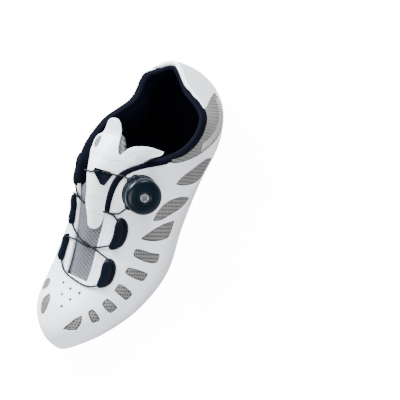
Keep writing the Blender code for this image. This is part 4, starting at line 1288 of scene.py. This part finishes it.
@dataclass
class Collar(Part):
    """Padded black lining of the collar, the binding along the throat and the white roll over the heel.

    Args:
        spacing: Spacing in metres of the cross sections.
        thinning: Length shares between which the padding thins from ankle to throat.
        pads: Thickness in mm of the padding at the ankle and at the throat.
        pads_medial: Medial padding, as (length share, thickness in mm).
        depths: How far down in mm the lining reaches at heel and throat.
        outside: Outer part of a section where the binding wraps the edge, as (inward, rise) in mm.
        inside: The same part where the lining ends behind the skin's edge.
        roll: Section of the white roll over the heel.
    """

    spacing: float = 2.2 * MM
    thinning: tuple = (0.34, 0.47)
    pads: tuple = (5.2, 4.1)
    pads_medial: tuple = ((0.30, 5.2), (0.42, 4.0), (0.46, 6.2), (0.50, 10.2), (0.558, 11.8))
    depths: tuple = (34.0, 11.0)
    outside: tuple = ((-0.15, -4.1), (-0.60, -3.6), (-0.95, -2.0), (-0.85, 0.2), (0.0, 1.5), (1.4, 2.1))
    inside: tuple = ((2.0, -3.0), (1.15, -2.2), (1.0, -1.2), (1.05, -0.2), (1.5, 0.8), (2.4, 1.5))
    roll: tuple = (
        (-0.05, -1.2), (-0.08, 0.0), (0.15, 0.9), (0.9, 1.7), (2.1, 2.15), (3.3, 1.95), (4.1, 1.2),
        (4.35, 0.2), (4.2, -1.5), (2.0, -1.8), (0.8, -1.7),
    )

    def place(self, s: float, side: Side, profile: list) -> np.ndarray:
        """Places a profile of (inward, rise) in mm at the edge of one station."""
        top = float(self.last.edge(s, side))
        t, way = self.last.girths(np.array([s]), side)
        limit = float(np.interp(top, t, way[0]))
        rim, n = self.last.point(s, top, side), self.last.normal(s, top - 0.004, side)
        up = unit(rim - self.last.point(s, top - 0.03, side))
        points = []
        for inward, rise in profile:
            if rise >= 0:
                points.append(rim - n * inward * MM + up * rise * MM)
            else:
                girth = float(np.interp(limit + rise, way[0], t))
                points.append(self.last.lifted(s, girth, side, -inward * MM))
        return np.array(points)

    def section(self, s: float, side: Side) -> np.ndarray:
        """Closed cross section of lining or binding at one station."""
        u = float(self.last.along(s))
        run = COLLAR[side]
        thin = float(smooth_step(u, *self.thinning))
        heel = 1 - float(smooth_step(u, *run.heel))
        over = float(smooth_step(u, run.start, run.start + 0.03))
        fade = 1 - 0.12 * float(smooth_step(u, run.end - 0.003, run.end))
        if side is Side.LATERAL:
            pad = self.pads[0] + (self.pads[1] - self.pads[0]) * thin + heel
        else:
            pad = float(np.interp(u, *zip(*self.pads_medial))) + heel
        depth = self.depths[0] + (self.depths[1] - self.depths[0]) * thin
        wall = self.last.wall / MM
        full = wall + pad
        first = [
            (a + (c + 2.9 * heel - a) * (1 - over), b + (d - b) * (1 - over))
            for (a, b), (c, d) in zip(self.outside, self.inside)
        ]
        rest = [
            (0.55 * full + 1.2 * heel, 2.4 - 0.6 * heel), (full - 1.4, 2.0 - 0.4 * heel), (full - 0.4, 1.1),
            (full + 0.1, -0.4), (full + 0.35, -0.14 * depth), (full + 0.5, -0.4 * depth),
            (full, -0.7 * depth), (wall + 0.45 * pad, -0.92 * depth), (wall + 0.1, -depth),
            (wall, -0.8 * depth), (wall, -5.0),
        ]
        profile = [(full / 2 + (a - full / 2) * fade, b * fade) for a, b in first + rest]
        return self.place(s, side, profile)

    def heel_roll(self) -> None:
        """Builds the white edge that rolls over the top of the heel."""
        rings = []
        runs = (
            (Side.LATERAL, np.linspace(0.262, 0, 34), 0.08, 0.155),
            (Side.MEDIAL, np.linspace(0, 0.262, 34)[1:], 0.02, 0.07),
        )
        for side, stations, low, high in runs:
            for s in stations:
                size = 1 - float(smooth_step(self.last.along(s), low, high))
                profile = [(a * size, b * max(size, 0.05)) for a, b in self.roll]
                rings.append(self.place(float(s), side, profile))
        roll = lofted("heel_roll", rings, self.wardrobe[WHITE])

    def build(self) -> None:
        """Builds the lining and the heel's roll."""
        runs = []
        for side, run in COLLAR.items():
            s = self.last.even_stations(side, self.spacing)
            s = s[self.last.along(s) < run.end - 0.002]
            runs.append(np.append(s, self.last.station([run.end - 0.0012, run.end])))
        rings = [self.section(float(s), Side.LATERAL) for s in runs[0][::-1]]
        rings += [self.section(float(s), Side.MEDIAL) for s in runs[1][1:]]
        lining = lofted("collar_padding", rings, self.wardrobe[BINDING])
        subdivide(lining, 1)
        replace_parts(lining, "collar_lining")
        self.heel_roll()


def subdivide(piece: bpy.types.Object, levels: int) -> None:
    """Smooths a piece with a subdivision surface."""
    step = piece.modifiers.new("Smooth", "SUBSURF")
    step.levels = levels
    step.render_levels = levels


@dataclass
class Tongue(Part):
    """The mesh tongue and the white overlay on it.

    Args:
        tunnel_at: Length share of the overlay's tunnel for the rear laces.
        tunnel_half: Half its length, as a share.
        tunnel_rise: Its height in mm.
        front_lift: How far in mm the front of the tongue is lifted.
        thickness: Thickness in mm of the tongue.
        overlay_thickness: Thickness in mm of the overlay.
    """

    tunnel_at: float = 0.594
    tunnel_half: float = 0.042
    tunnel_rise: float = 1.9
    front_lift: float = 3.6
    thickness: float = 3.2
    overlay_thickness: float = 1.1

    def point(self, u: np.ndarray, v: np.ndarray) -> np.ndarray:
        """Point over the tongue at length share u and cross share v."""
        u, v = np.broadcast_arrays(np.asarray(u, float), np.asarray(v, float))
        shares = np.array([row.along for row in TONGUE])
        place = np.interp(-u, -shares, np.linspace(0, 1, len(shares)))
        lines = [[column(TONGUE, part + axis, place) for part in TONGUE_PARTS] for axis in ("_y", "_z")]
        y, z = (spline(np.stack(line), (v + 1) / 2) for line in lines)
        x = self.last.heel_back + self.last.length * u
        lift = self.front_lift * smooth_step(u, 0.53, 0.61) * MM
        return np.stack([x, self.last.ball * y, self.last.instep * z + lift], -1)

    def normal(self, u: np.ndarray, v: np.ndarray) -> np.ndarray:
        """Upward normal of the tongue."""
        du = self.point(u + 4e-3, v) - self.point(u - 4e-3, v)
        dv = self.point(u, np.minimum(v + 4e-3, 1)) - self.point(u, np.maximum(v - 4e-3, -1))
        n = unit(np.cross(du, dv))
        return np.where(n[..., 2:] > 0, n, -n)

    def grid(self, low: float, high: float, spacing: float) -> Grid:
        """Grid over the tongue between two length shares."""
        u = np.linspace(high, low, int((high - low) * self.last.length / spacing) + 1)
        v = np.linspace(-1, 1, int(0.62 * self.last.ball / spacing) + 1)
        a, b = np.meshgrid(u, v, indexing="ij")
        points = self.point(a, b)
        flat = np.stack([a * self.last.length / MM, points[..., 1] / MM], -1)
        exists = np.ones((len(u) - 1, len(v) - 1), bool)
        return Grid(a, b, flat, exists, np.zeros(a.shape))

    def flat_outline(self, outline: Outline, rounds: int = 2) -> np.ndarray:
        """Flat corners of an outline on the tongue."""
        scale = np.array([self.last.length, self.last.ball]) / MM
        return rounded(np.array(outline.corners) * scale, rounds)

    def rise(self, u: np.ndarray) -> np.ndarray:
        """Height in mm of the overlay over the tongue."""
        near = smooth_step(1 - abs(u - self.tunnel_at) / self.tunnel_half, 0, 1)
        return 1.5 + self.tunnel_rise * near

    def across(self, u: float, y: float) -> float:
        """Cross share at a width share of the ball."""
        ways = np.linspace(-1, 1, 161)
        places = self.point(np.full_like(ways, u), ways)[:, 1] / self.last.ball
        return float(np.interp(y, places, ways))

    def over(self, u: np.ndarray, v: np.ndarray, height: np.ndarray) -> np.ndarray:
        """Point at a height in mm over the tongue."""
        return self.point(u, v) + self.normal(u, v) * np.asarray(height)[..., None] * MM

    def build(self) -> dict:
        """Builds the tongue, its overlay and their mesh insert."""
        soft, white, insert = MeshBook(), MeshBook(), MeshBook()
        grid = self.grid(0.366, 0.834, 1.5 * MM)
        tongue = self.flat_outline(TONGUE_OUTLINE)
        grid.clip(lambda flat: -outline_distance(flat, tongue), self.thickness)
        points, normals = self.point(grid.a, grid.b), self.normal(grid.a, grid.b)
        soft.add_sheet(grid, points, normals, True, 0.9, underside=self.thickness)
        overlay, oval = self.flat_outline(OVERLAY_OUTLINE), self.flat_outline(OVAL_MEDIAL)
        grid = self.grid(0.356, 0.656, 0.8 * MM)
        grid.clip(lambda flat: -outline_distance(flat, overlay), self.overlay_thickness)
        grid.clip(lambda flat: outline_distance(flat, oval), self.overlay_thickness)
        points, normals = self.over(grid.a, grid.b, self.rise(grid.a)), self.normal(grid.a, grid.b)
        white.add_sheet(grid, points, normals, True, 0.3, underside=self.overlay_thickness)
        grid = self.grid(0.385, 0.450, 1.6 * MM)
        grid.clip(lambda flat: 1.5 - outline_distance(flat, oval), rounds=0)
        points = self.over(grid.a, grid.b, self.rise(grid.a) - 0.6)
        insert.add_sheet(grid, points, self.normal(grid.a, grid.b), True)
        pieces = {
            "tongue_pad": soft.build("tongue_pad", self.wardrobe[TONGUE_MESH]),
            "tongue_skin": white.build("tongue_skin", self.wardrobe[OVERLAY]),
            "tongue_insert": insert.build("tongue_insert", self.wardrobe[MESH]),
        }
        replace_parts(pieces["tongue_pad"], "tongue")
        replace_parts(pieces["tongue_skin"], "tongue_overlay")
        pieces["tongue_pad"]
        pieces["tongue_skin"]
        pieces["tongue_insert"]
        pieces["tongue_pad"]
        return pieces


PRESSED_LINE = (0.4, 0.70, 0.06)
TRIANGLE = ((0.508, -0.034), (0.498, 0.124), (0.546, 0.066))
TRIANGLE_PROFILE = (
    (0.96, -0.5), (1.0, 0.2), (1.0, 1.1), (0.97, 1.6), (0.91, 1.8), (0.84, 1.6), (0.77, 1.0), (0.70, 0.8),
    (0.45, 0.9), (0.2, 1.0), (0.03, 1.0),
)


@dataclass
class Guides(Part):
    """Black lace guides beside the throat and the triangle on the tongue.

    Args:
        tongue: The tongue's form, which carries the triangle.
    """

    tongue: Tongue

    def pad(self, place: GuidePlace) -> None:
        """Builds one domed guide with a rounded outline and a pressed line inside its edge."""
        rear = self.last.flat(*place.rear, place.side)
        front = self.last.flat(*place.front, place.side)
        run = front - rear
        across = np.array([-run[1], run[0]]) / np.hypot(*run)
        middle = self.last.station((place.rear[0] + place.front[0]) / 2)
        t, way = self.last.girths(np.array([middle]), place.side)
        bow = place.bow * float(way[0][-1])
        share = (1 - np.cos(np.linspace(0, np.pi, 41))) / 2
        ways = np.sin(np.linspace(-np.pi / 2, np.pi / 2, 21))
        narrow = 1 - place.waist * np.exp(-(((share - 0.5) / 0.16) ** 2))
        half = place.half_width * narrow * (1 - abs(2 * share - 1) ** 4.0).clip(1e-4) ** 0.5
        centre = rear + share[:, None] * run + np.stack([0 * share, bow * 4 * share * (1 - share)], 1)
        flat = centre[:, None] + across * (half[:, None] * ways)[..., None]
        ends = abs(2 * share - 1)[:, None] ** 3
        radius = np.hypot(abs(ways)[None] ** 1.5, ends).clip(0, 1)
        height = place.height * (1 - radius**3.0).clip(0) ** 0.5 * (0.55 + 0.45 * narrow[:, None])
        depth, at, spread = PRESSED_LINE
        height -= depth * np.exp(-(((radius - at) / spread) ** 2))
        s = self.last.station(flat[..., 0] * MM / self.last.length)
        girth = np.empty_like(s)
        for index in np.ndindex(s.shape):
            steps, lengths = self.last.girths(np.array([s[index]]), place.side, 40)
            girth[index] = np.interp(flat[index][1], lengths[0], steps)
        n = self.last.normal(s, girth, place.side)
        points = self.last.lifted(s, girth, place.side, 0.1 * MM) + n * height[..., None] * MM
        low = self.last.lifted(s, girth, place.side, -0.2 * MM)
        rings = [np.concatenate([top, bottom[::-1]]) for top, bottom in zip(points[1:-1], low[1:-1])]
        piece = lofted(place.node + "_shell", rings, self.wardrobe[GUIDE])
        subdivide(piece, 1)
        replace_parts(piece, place.node)

    def triangle(self) -> None:
        """Builds the triangle on the tongue with its rolled edge and sunk middle."""
        corners = rounded(np.array(TRIANGLE), 1)
        centre = corners.mean(0)
        rings = []
        for scale, height in TRIANGLE_PROFILE:
            ring = []
            for u, y in centre + (corners - centre) * scale:
                v = self.tongue.across(u, y)
                ring.append(self.tongue.over(np.array(u), np.array(v), np.array(1.5 + height)))
            rings.append(ring)
        piece = lofted("tongue_guide_shell", rings, self.wardrobe[GUIDE])
        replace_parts(piece, "tongue_guide")

    def build(self) -> None:
        """Builds every guide."""
        for place in GUIDES:
            self.pad(place)
        self.triangle()


BASE_TOP = ((0.3, 5.5), (0.93, 5.5), (0.985, 5.2), (1.0, 4.6))
BASE_FOOT = ((1.0, 1.2), (1.02, 0.5), (1.05, 0.1), (1.05, -0.3), (0.9, -0.3))
KNOB_PROFILE = (
    (0.94, 0.0), (0.985, 0.3), (1.0, 0.9), (1.0, 3.6), (0.985, 4.9), (0.95, 5.9), (0.90, 6.6), (0.82, 7.1),
    (0.70, 7.4), (0.55, 7.6), (0.40, 7.7), (0.33, 7.6), (0.30, 7.2), (0.29, 6.4), (0.10, 6.4),
)
CAP_PROFILE = (
    (3.8, -0.1), (3.8, 0.7), (3.6, 1.05), (3.0, 1.15), (2.8, 0.9), (2.0, 0.85), (1.8, 1.1), (1.3, 1.1),
    (1.1, 0.3), (0.2, 0.2),
)
PORT_PROFILE = ((-2.6, 1.2), (-1.0, 1.15), (0.8, 1.05), (2.0, 0.85), (2.9, 0.5), (3.1, 0.15))


class Port(NamedTuple):
    """A lug at the base's edge where the lace goes in: angle in degrees, reach and size in mm."""

    name: str
    angle: float
    reach: float
    size: float


PORTS = (
    Port("dial_port_1", 235.0, 14.6, 2.3),
    Port("dial_port_2", 252.0, 14.9, 1.9),
    Port("dial_port_3", 348.0, 14.7, 2.1),
)


@dataclass
class Dial(Part):
    """The lace dial on the outer side.

    Args:
        skin: Search tree over the upper's skin.
        place: Length share and girth of its axis on the skin.
        lean: How far the axis leans forward and sideways from the skin's normal.
        base_height: Height in mm of the base.
        base_radius: Its radius in mm.
        knob_radius: Radius in mm of the knob.
        cap_height: Height in mm of the cap's seat in the knob.
        lugs: Number of grip lugs round the knob.
    """

    skin: BVHTree
    place: tuple = (0.517, 0.635)
    lean: tuple = (0.20, -0.06)
    base_height: float = 5.5
    base_radius: float = 14.8
    knob_radius: float = 14.6
    cap_height: float = 6.4
    lugs: int = 48

    def frame(self) -> tuple:
        """Centre with forward, upward and outward directions."""
        s = self.last.station(self.place[0])
        centre = self.last.point(s, self.place[1], Side.LATERAL)
        out = self.last.normal(s, self.place[1], Side.LATERAL)
        ahead = unit(np.array([1.0, 0, 0]) - out * out[0])
        out = unit(out + ahead * self.lean[0] + np.cross(out, ahead) * self.lean[1])
        ahead = unit(ahead - out * (ahead @ out))
        return centre, ahead, np.cross(out, ahead), out

    def ring(self, radius: float, height: float, count: int, waves: float = 0.0) -> np.ndarray:
        """Points round the axis in mm, with waves for grip lugs."""
        centre, ahead, up, out = self.frame()
        turn = np.arange(count) * 2 * math.pi / count
        lug = np.sin(self.lugs * turn)
        reach = radius * (1 + waves * np.sign(lug) * abs(lug) ** 0.5)
        spokes = ahead * np.cos(turn)[:, None] + up * np.sin(turn)[:, None]
        return centre + (spokes * reach[:, None] + out * height) * MM

    def build(self) -> None:
        """Builds base, knob, cap and ports."""
        out = Vector(self.frame()[3])
        rings = [self.ring(self.base_radius * k, h, 96) for k, h in BASE_TOP]
        for k, lift in BASE_FOOT:
            starts = self.ring(self.base_radius * k, 30.0, 96)
            hits = [self.skin.ray_cast(Vector(start), -out)[0] for start in starts]
            rings.append(np.array([np.array(hit + out * lift * MM) for hit in hits]))
        base = lofted("dial_base_shell", rings, self.wardrobe[GUIDE], caps=False)
        foot = self.base_height + 0.3
        rings = []
        for k, h in KNOB_PROFILE:
            waves = 0.010 if 0.8 < h < 4.0 else 0.0
            rings.append(self.ring(self.knob_radius * k, foot + h, 192, waves))
        knob = lofted("dial_knob_shell", rings, self.wardrobe[DIAL])
        rings = [self.ring(r, foot + self.cap_height + h, 48) for r, h in CAP_PROFILE]
        cap = lofted("dial_cap_shell", rings, self.wardrobe[CAP])
        pieces = {"dial_base": base, "dial_knob": knob, "dial_cap": cap}
        for port in PORTS:
            self.add_port(port)
        slots = {"dial_base": "dial_plastic", "dial_knob": "dial_plastic", "dial_cap": "cap_metal"}
        for node, slot in slots.items():
            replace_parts(pieces[node], node)
            pieces[node]

    def add_port(self, port: Port) -> None:
        """Builds one rounded lug at the base's edge."""
        centre, ahead, up, out = self.frame()
        turn = math.radians(port.angle)
        spoke = ahead * math.cos(turn) + up * math.sin(turn)
        cross = np.cross(out, spoke)
        foot = centre + spoke * port.reach * MM + out * 1.2 * MM
        oval = circle(24, cross * 1.25, spoke * 0.9) * port.size * MM
        rings = [foot + oval * width + out * lift * MM for lift, width in PORT_PROFILE]
        piece = lofted(port.name, rings, self.wardrobe[GUIDE])


@dataclass
class Laces(Part):
    """The visible runs of the cord.

    Args:
        below: Search tree of what lies below the overlay.
        over: Search tree with the overlay.
        radius: Radius of the cord in mm.
        reach: How far down in metres a cord looks for what lies below it.
        steepest: How steeply a taut cord may fall from a high place.
    """

    below: BVHTree
    over: BVHTree
    radius: float = 0.72
    reach: float = 0.16
    steepest: float = 0.9

    def path(self, strand: Strand) -> np.ndarray:
        """Taut middle line over everything that lies below a strand."""
        share = np.linspace(0, 1, 16 * (len(strand.points) - 1) + 1)
        u, y, lift = (spline(np.array([p[k] for p in strand.points]), share) for k in range(3))
        places = np.stack([self.last.heel_back + self.last.length * u, self.last.ball * y], 1)
        tree = self.below if strand.below_overlay else self.over
        hits = [tree.ray_cast(Vector((x, w, RAY_TOP)), DOWN, self.reach)[0] for x, w in places]
        held = [i for i, hit in enumerate(hits) if hit]
        tops = np.interp(np.arange(len(hits)), held, [hits[i].z for i in held])
        away = np.linalg.norm(places[:, None] - places[None], axis=-1)
        high = (tops[None] - self.steepest * np.maximum(away - 1.2 * MM, 0)).max(1)
        smooth = np.convolve(np.pad(high, 3, "edge"), np.ones(7) / 7, "valid")
        high = np.maximum(smooth, high)
        return np.column_stack([places, high + (self.radius + 0.15 + lift) * MM])

    def build(self) -> None:
        """Builds one tube for each strand."""
        for number, strand in enumerate(STRANDS):
            path = self.path(strand)
            ahead = unit(np.gradient(path, axis=0))
            side = unit(np.cross(ahead, [0, 0, 1.0]))
            up = np.cross(side, ahead)
            rings = [p + self.radius * MM * circle(12, a, b) for p, a, b in zip(path, side, up)]
            piece = lofted(f"{strand.node}_cord_{number + 1}", rings, self.wardrobe[LACE])
            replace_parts(piece, strand.node)


class ThroatRow(NamedTuple):
    """A row of stitches beside the throat: inset in mm from its edge, first and last length share."""

    side: Side
    inset: float
    start: float
    end: float


THROAT_ROWS = (
    ThroatRow(Side.LATERAL, 2.4, 0.612, 0.790),
    ThroatRow(Side.MEDIAL, 2.4, 0.572, 0.790),
    ThroatRow(Side.LATERAL, 3.4, 0.420, 0.600),
)
OVERLAY_ROWS = (
    ((0.457, -0.150), (0.468, -0.080), (0.474, 0.000), (0.472, 0.070), (0.456, 0.145)),
    ((0.576, -0.052), (0.575, 0.000), (0.573, 0.050), (0.570, 0.112)),
    ((0.614, -0.034), (0.612, 0.010), (0.610, 0.055), (0.605, 0.106)),
    ((0.449, 0.159), (0.434, 0.185), (0.422, 0.222), (0.411, 0.275), (0.401, 0.336), (0.397, 0.385)),
)
STITCH_PROFILE = ((0.0, 0.35, -0.5), (0.2, 0.95, 0.25), (0.8, 0.95, 0.25), (1.0, 0.35, -0.5))


@dataclass
class Stitches(Part):
    """Rows of thread stitches laid on the skin and on the overlay.

    Args:
        tongue: The tongue's form.
        length: Length of a stitch in mm.
        pitch: Distance in mm between the starts of two stitches.
        radius: Radius of the thread in mm.
    """

    tongue: Tongue
    length: float = 1.5
    pitch: float = 2.3
    radius: float = 0.26

    def throat_row(self, row: ThroatRow) -> tuple:
        """Points and normals along the throat's edge."""
        s = self.last.station(np.linspace(row.start, row.end, 160))
        t, way, _, limit = self.last.edge_ways(s, row.side)
        girth = np.array([np.interp(top - row.inset, steps, t) for top, steps in zip(limit, way)])
        return self.last.point(s, girth, row.side), self.last.normal(s, girth, row.side)

    def overlay_row(self, places: tuple) -> tuple:
        """Points and normals along a line on the overlay given as (length share, width share)."""
        shares = np.linspace(0, 1, 90)
        along, wide = (spline(np.array(line), shares) for line in zip(*places))
        points, normals = [], []
        for u, y in zip(along, wide):
            v = np.array(self.tongue.across(u, y))
            points.append(self.tongue.over(np.array(u), v, self.tongue.rise(np.array(u))))
            normals.append(self.tongue.normal(np.array(u), v))
        return np.array(points), np.array(normals)

    def add_row(self, book: TubeBook, points: np.ndarray, normals: np.ndarray) -> None:
        """Adds a row of small half-sunk stitches along a line."""
        way = np.concatenate([[0], np.cumsum(np.linalg.norm(np.diff(points, axis=0), axis=1))]) / MM

        def at(lines: np.ndarray, place: float) -> np.ndarray:
            """Value of points or normals at a way in mm along the line."""
            return np.array([np.interp(place, way, lines[:, axis]) for axis in range(3)])

        for start in np.arange(0.4, way[-1] - self.length, self.pitch):
            first, n = at(points, start), unit(at(normals, start))
            ahead = at(points, start + self.length) - first
            side = unit(np.cross(ahead, n))
            thread = self.radius * MM * circle(6, side, n)
            book.add([
                first + ahead * share + n * self.radius * lift * MM + thread * width
                for share, width, lift in STITCH_PROFILE
            ])

    def build(self) -> None:
        """Builds all rows as one piece."""
        book = TubeBook()
        for row in THROAT_ROWS:
            self.add_row(book, *self.throat_row(row))
        for places in OVERLAY_ROWS:
            self.add_row(book, *self.overlay_row(places))
        piece = book.build("stitches", self.wardrobe[THREAD])


@dataclass
class AnkleRibs(Part):
    """Short moulded ribs over the outer half of the mesh under the ankle.

    Args:
        foot: Line of their lower ends, as (length share, girth).
        head: Line of their upper ends.
        count: How many each side has.
        widths: Radius in mm along a rib.
    """

    foot: tuple = (
        (0.072, 0.29), (0.090, 0.19), (0.125, 0.15), (0.165, 0.19), (0.205, 0.30), (0.246, 0.44),
        (0.292, 0.65),
    )
    head: tuple = (
        (0.082, 0.42), (0.105, 0.36), (0.135, 0.34), (0.168, 0.39), (0.203, 0.49), (0.236, 0.61),
        (0.270, 0.78),
    )
    count: int = 24
    widths: tuple = (0.1, 0.5, 0.62, 0.62, 0.62, 0.5, 0.1)

    def build(self) -> None:
        """Builds all ribs of both sides as one piece."""
        book = TubeBook()
        shares = np.linspace(0, 1, self.count)
        feet, heads = (
            np.stack([spline(np.array(part), shares) for part in zip(*line)], 1)
            for line in (self.foot, self.head)
        )
        for side in Side:
            for low, high in zip(feet, heads):
                places = low + (high - low) * np.linspace(0, 1, len(self.widths))[:, None]
                s = self.last.station(places[:, 0])
                base = self.last.lifted(s, places[:, 1], side, -0.35 * MM)
                n = self.last.normal(s, places[:, 1], side)
                cross = np.cross(n, unit(np.gradient(base, axis=0)))
                parts = zip(base, self.widths, cross, n)
                book.add([b + w * MM * circle(8, c, m * 1.1) for b, w, c, m in parts])
        ribs = book.build("ankle_ribs", self.wardrobe[RIB])


@dataclass
class Footbed(Part):
    """The black footbed inside, dished and with a raised rim at the heel.

    Args:
        solid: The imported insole, which gives its heights.
        inset: How far in mm its edge lies inside the upper, before the share that the rim takes.
        thickness: Its thickness in mm.
        count: Points across it.
    """

    solid: bpy.types.Object
    inset: float = 8.7
    thickness: float = 2.4
    count: int = 25

    def ring(self, s: float, tree: BVHTree) -> np.ndarray:
        """Closed cross ring of the footbed at a station."""
        ends = []
        for side in (Side.MEDIAL, Side.LATERAL):
            rim = self.last.point(s, 0.12, side)
            ends.append(rim[1] - side.value * self.inset * MM * 0.62)
        middle = (ends[0] + ends[1]) / 2
        x = float(self.last.heel_back + self.last.length * self.last.along(s))
        hit = tree.ray_cast(Vector((x, middle, RAY_TOP)), DOWN)[0]
        top = hit.z if hit else float(self.last.feather(s))
        ways = np.sin(np.linspace(-np.pi / 2, np.pi / 2, self.count))
        y = middle + (ends[1] - ends[0]) / 2 * ways
        dish = 0.9 * abs(ways) ** 3 - 0.3 * abs(ways) ** 12
        upper = np.column_stack([np.full(self.count, x), y, np.full(self.count, top) + dish * MM])
        below = np.full(self.count, top - self.thickness * MM)
        lower = np.column_stack([np.full(self.count, x), y * 0.985 + middle * 0.015, below])
        return np.concatenate([upper, lower[::-1]])

    def build(self) -> None:
        """Builds the footbed."""
        tree = search_tree(self.solid)
        stations = self.last.station(np.linspace(0.045, 0.955, 70))
        bed = lofted("footbed", [self.ring(float(s), tree) for s in stations], self.wardrobe[FOOTBED])
        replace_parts(bed, "insole")


@dataclass(frozen=True)
class CameraPlace:
    """Where the camera stands, from the photo."""

    position: tuple = (0.21885, 0.30468, 0.43584)
    angles: tuple = (28.545, 20.444, 118.492)
    lens: float = 51.25


class Lamp(NamedTuple):
    """A soft square lamp that faces the shoe: place and size in metres, power in watts."""

    name: str
    place: tuple
    size: float
    power: float
    colour: tuple


LAMPS = (
    Lamp("key", (-0.15, -0.62, 0.72), 0.40, 42.0, (0.90, 0.95, 1.0)),
    Lamp("fill", (0.75, 0.45, 0.70), 0.5, 8.0, (0.97, 0.98, 1.0)),
    Lamp("heel", (-0.60, 0.30, 0.70), 0.4, 12.0, (1.0, 0.98, 0.98)),
)
LAMP_AIM = (0.1, 0, 0.04)
SURROUNDINGS = (0.86, 0.92, 1.0, 1.0)
AMBIENT = 1.05
MIRRORED_LESS = 0.90
BACKDROP_GLOW = 14.0
FLOOR_COLOUR = (0.42, 0.41, 0.40, 1.0)


class Studio:
    """Camera, floor and soft light."""

    def __init__(self, place: CameraPlace) -> None:
        self.place = place

    def build(self) -> None:
        """Adds the camera, the floor, the lamps and the surroundings."""
        data = bpy.data.cameras.new("camera")
        data.lens = self.place.lens
        data.sensor_width = 36.0
        data.clip_start = 0.01
        camera = bpy.data.objects.new("camera", data)
        camera.location = self.place.position
        camera.rotation_euler = Euler([math.radians(a) for a in self.place.angles])
        bpy.context.scene.collection.objects.link(camera)
        bpy.context.scene.camera = camera
        self.floor()
        for lamp in LAMPS:
            self.add_lamp(lamp)
        world = bpy.data.worlds.new("surroundings")
        world.use_nodes = True
        background = world.node_tree.nodes["Background"]
        background.inputs[0].default_value = SURROUNDINGS
        sheet = NodeSheet(world.node_tree)
        path = sheet.add("ShaderNodeLightPath").outputs
        less = sheet.math("MULTIPLY", path["Is Glossy Ray"], MIRRORED_LESS)
        strength = sheet.math("SUBTRACT", AMBIENT, less)
        glow = sheet.math("MULTIPLY", path["Is Camera Ray"], BACKDROP_GLOW)
        sheet.feed(sheet.math("ADD", strength, glow), background.inputs[1])
        bpy.context.scene.world = world

    def floor(self) -> None:
        """Adds the white floor."""
        mesh = bpy.data.meshes.new("floor")
        mesh.from_pydata([(-3, -3, 0), (3, -3, 0), (3, 3, 0), (-3, 3, 0)], [], [(0, 1, 2, 3)])
        material = bpy.data.materials.new("floor_white")
        material.use_nodes = True
        sheet = NodeSheet(material.node_tree)
        shader = material.node_tree.nodes["Principled BSDF"]
        shader.inputs["Base Color"].default_value = FLOOR_COLOUR
        shader.inputs["Roughness"].default_value = 0.9
        seen = sheet.add("ShaderNodeLightPath").outputs["Is Camera Ray"]
        sheet.feed((1.0, 1.0, 1.0, 1.0), shader.inputs["Emission Color"])
        sheet.feed(sheet.math("MULTIPLY", seen, BACKDROP_GLOW), shader.inputs["Emission Strength"])
        mesh.materials.append(material)
        floor = bpy.data.objects.new("floor", mesh)
        bpy.context.scene.collection.objects.link(floor)

    @staticmethod
    def add_lamp(lamp: Lamp) -> None:
        """Adds one lamp."""
        data = bpy.data.lights.new(lamp.name, "AREA")
        data.size = lamp.size
        data.energy = lamp.power
        data.color = lamp.colour
        light = bpy.data.objects.new(lamp.name, data)
        light.location = lamp.place
        aim = Vector(LAMP_AIM) - Vector(lamp.place)
        light.rotation_euler = aim.to_track_quat("-Z", "Y").to_euler()
        bpy.context.scene.collection.objects.link(light)


def main() -> None:
    """Builds the shoe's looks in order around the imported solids."""
    logging.basicConfig(level=logging.INFO, format="%(message)s")
    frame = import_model()
    last = Last.from_frame()
    wardrobe = Wardrobe(last)
    LOG.info("upper")
    upper = Upper(last, wardrobe).build()
    Collar(last, wardrobe).build()
    AnkleRibs(last, wardrobe).build()
    LOG.info("tongue and guides")
    tongue = Tongue(last, wardrobe)
    soft = tongue.build()
    Guides(last, wardrobe, tongue).build()
    LOG.info("dial")
    skin = search_tree(upper["upper_skin"], upper["upper_mesh"])
    Dial(last, wardrobe, skin).build()
    LOG.info("laces and stitches")
    below = search_tree(upper["upper_skin"], upper["upper_mesh"], soft["tongue_pad"])
    over = search_tree(upper["upper_skin"], upper["upper_mesh"], soft["tongue_pad"], soft["tongue_skin"])
    Laces(last, wardrobe, below, over).build()
    Stitches(last, wardrobe, tongue).build()
    Footbed(last, wardrobe, frame["nodes"]["insole"]).build()
    sole = frame["nodes"]["outsole"].data
    sole.materials.clear()
    sole.materials.append(wardrobe[SOLE])
    Studio(CameraPlace()).build()


if __name__ == "__main__":
    main()
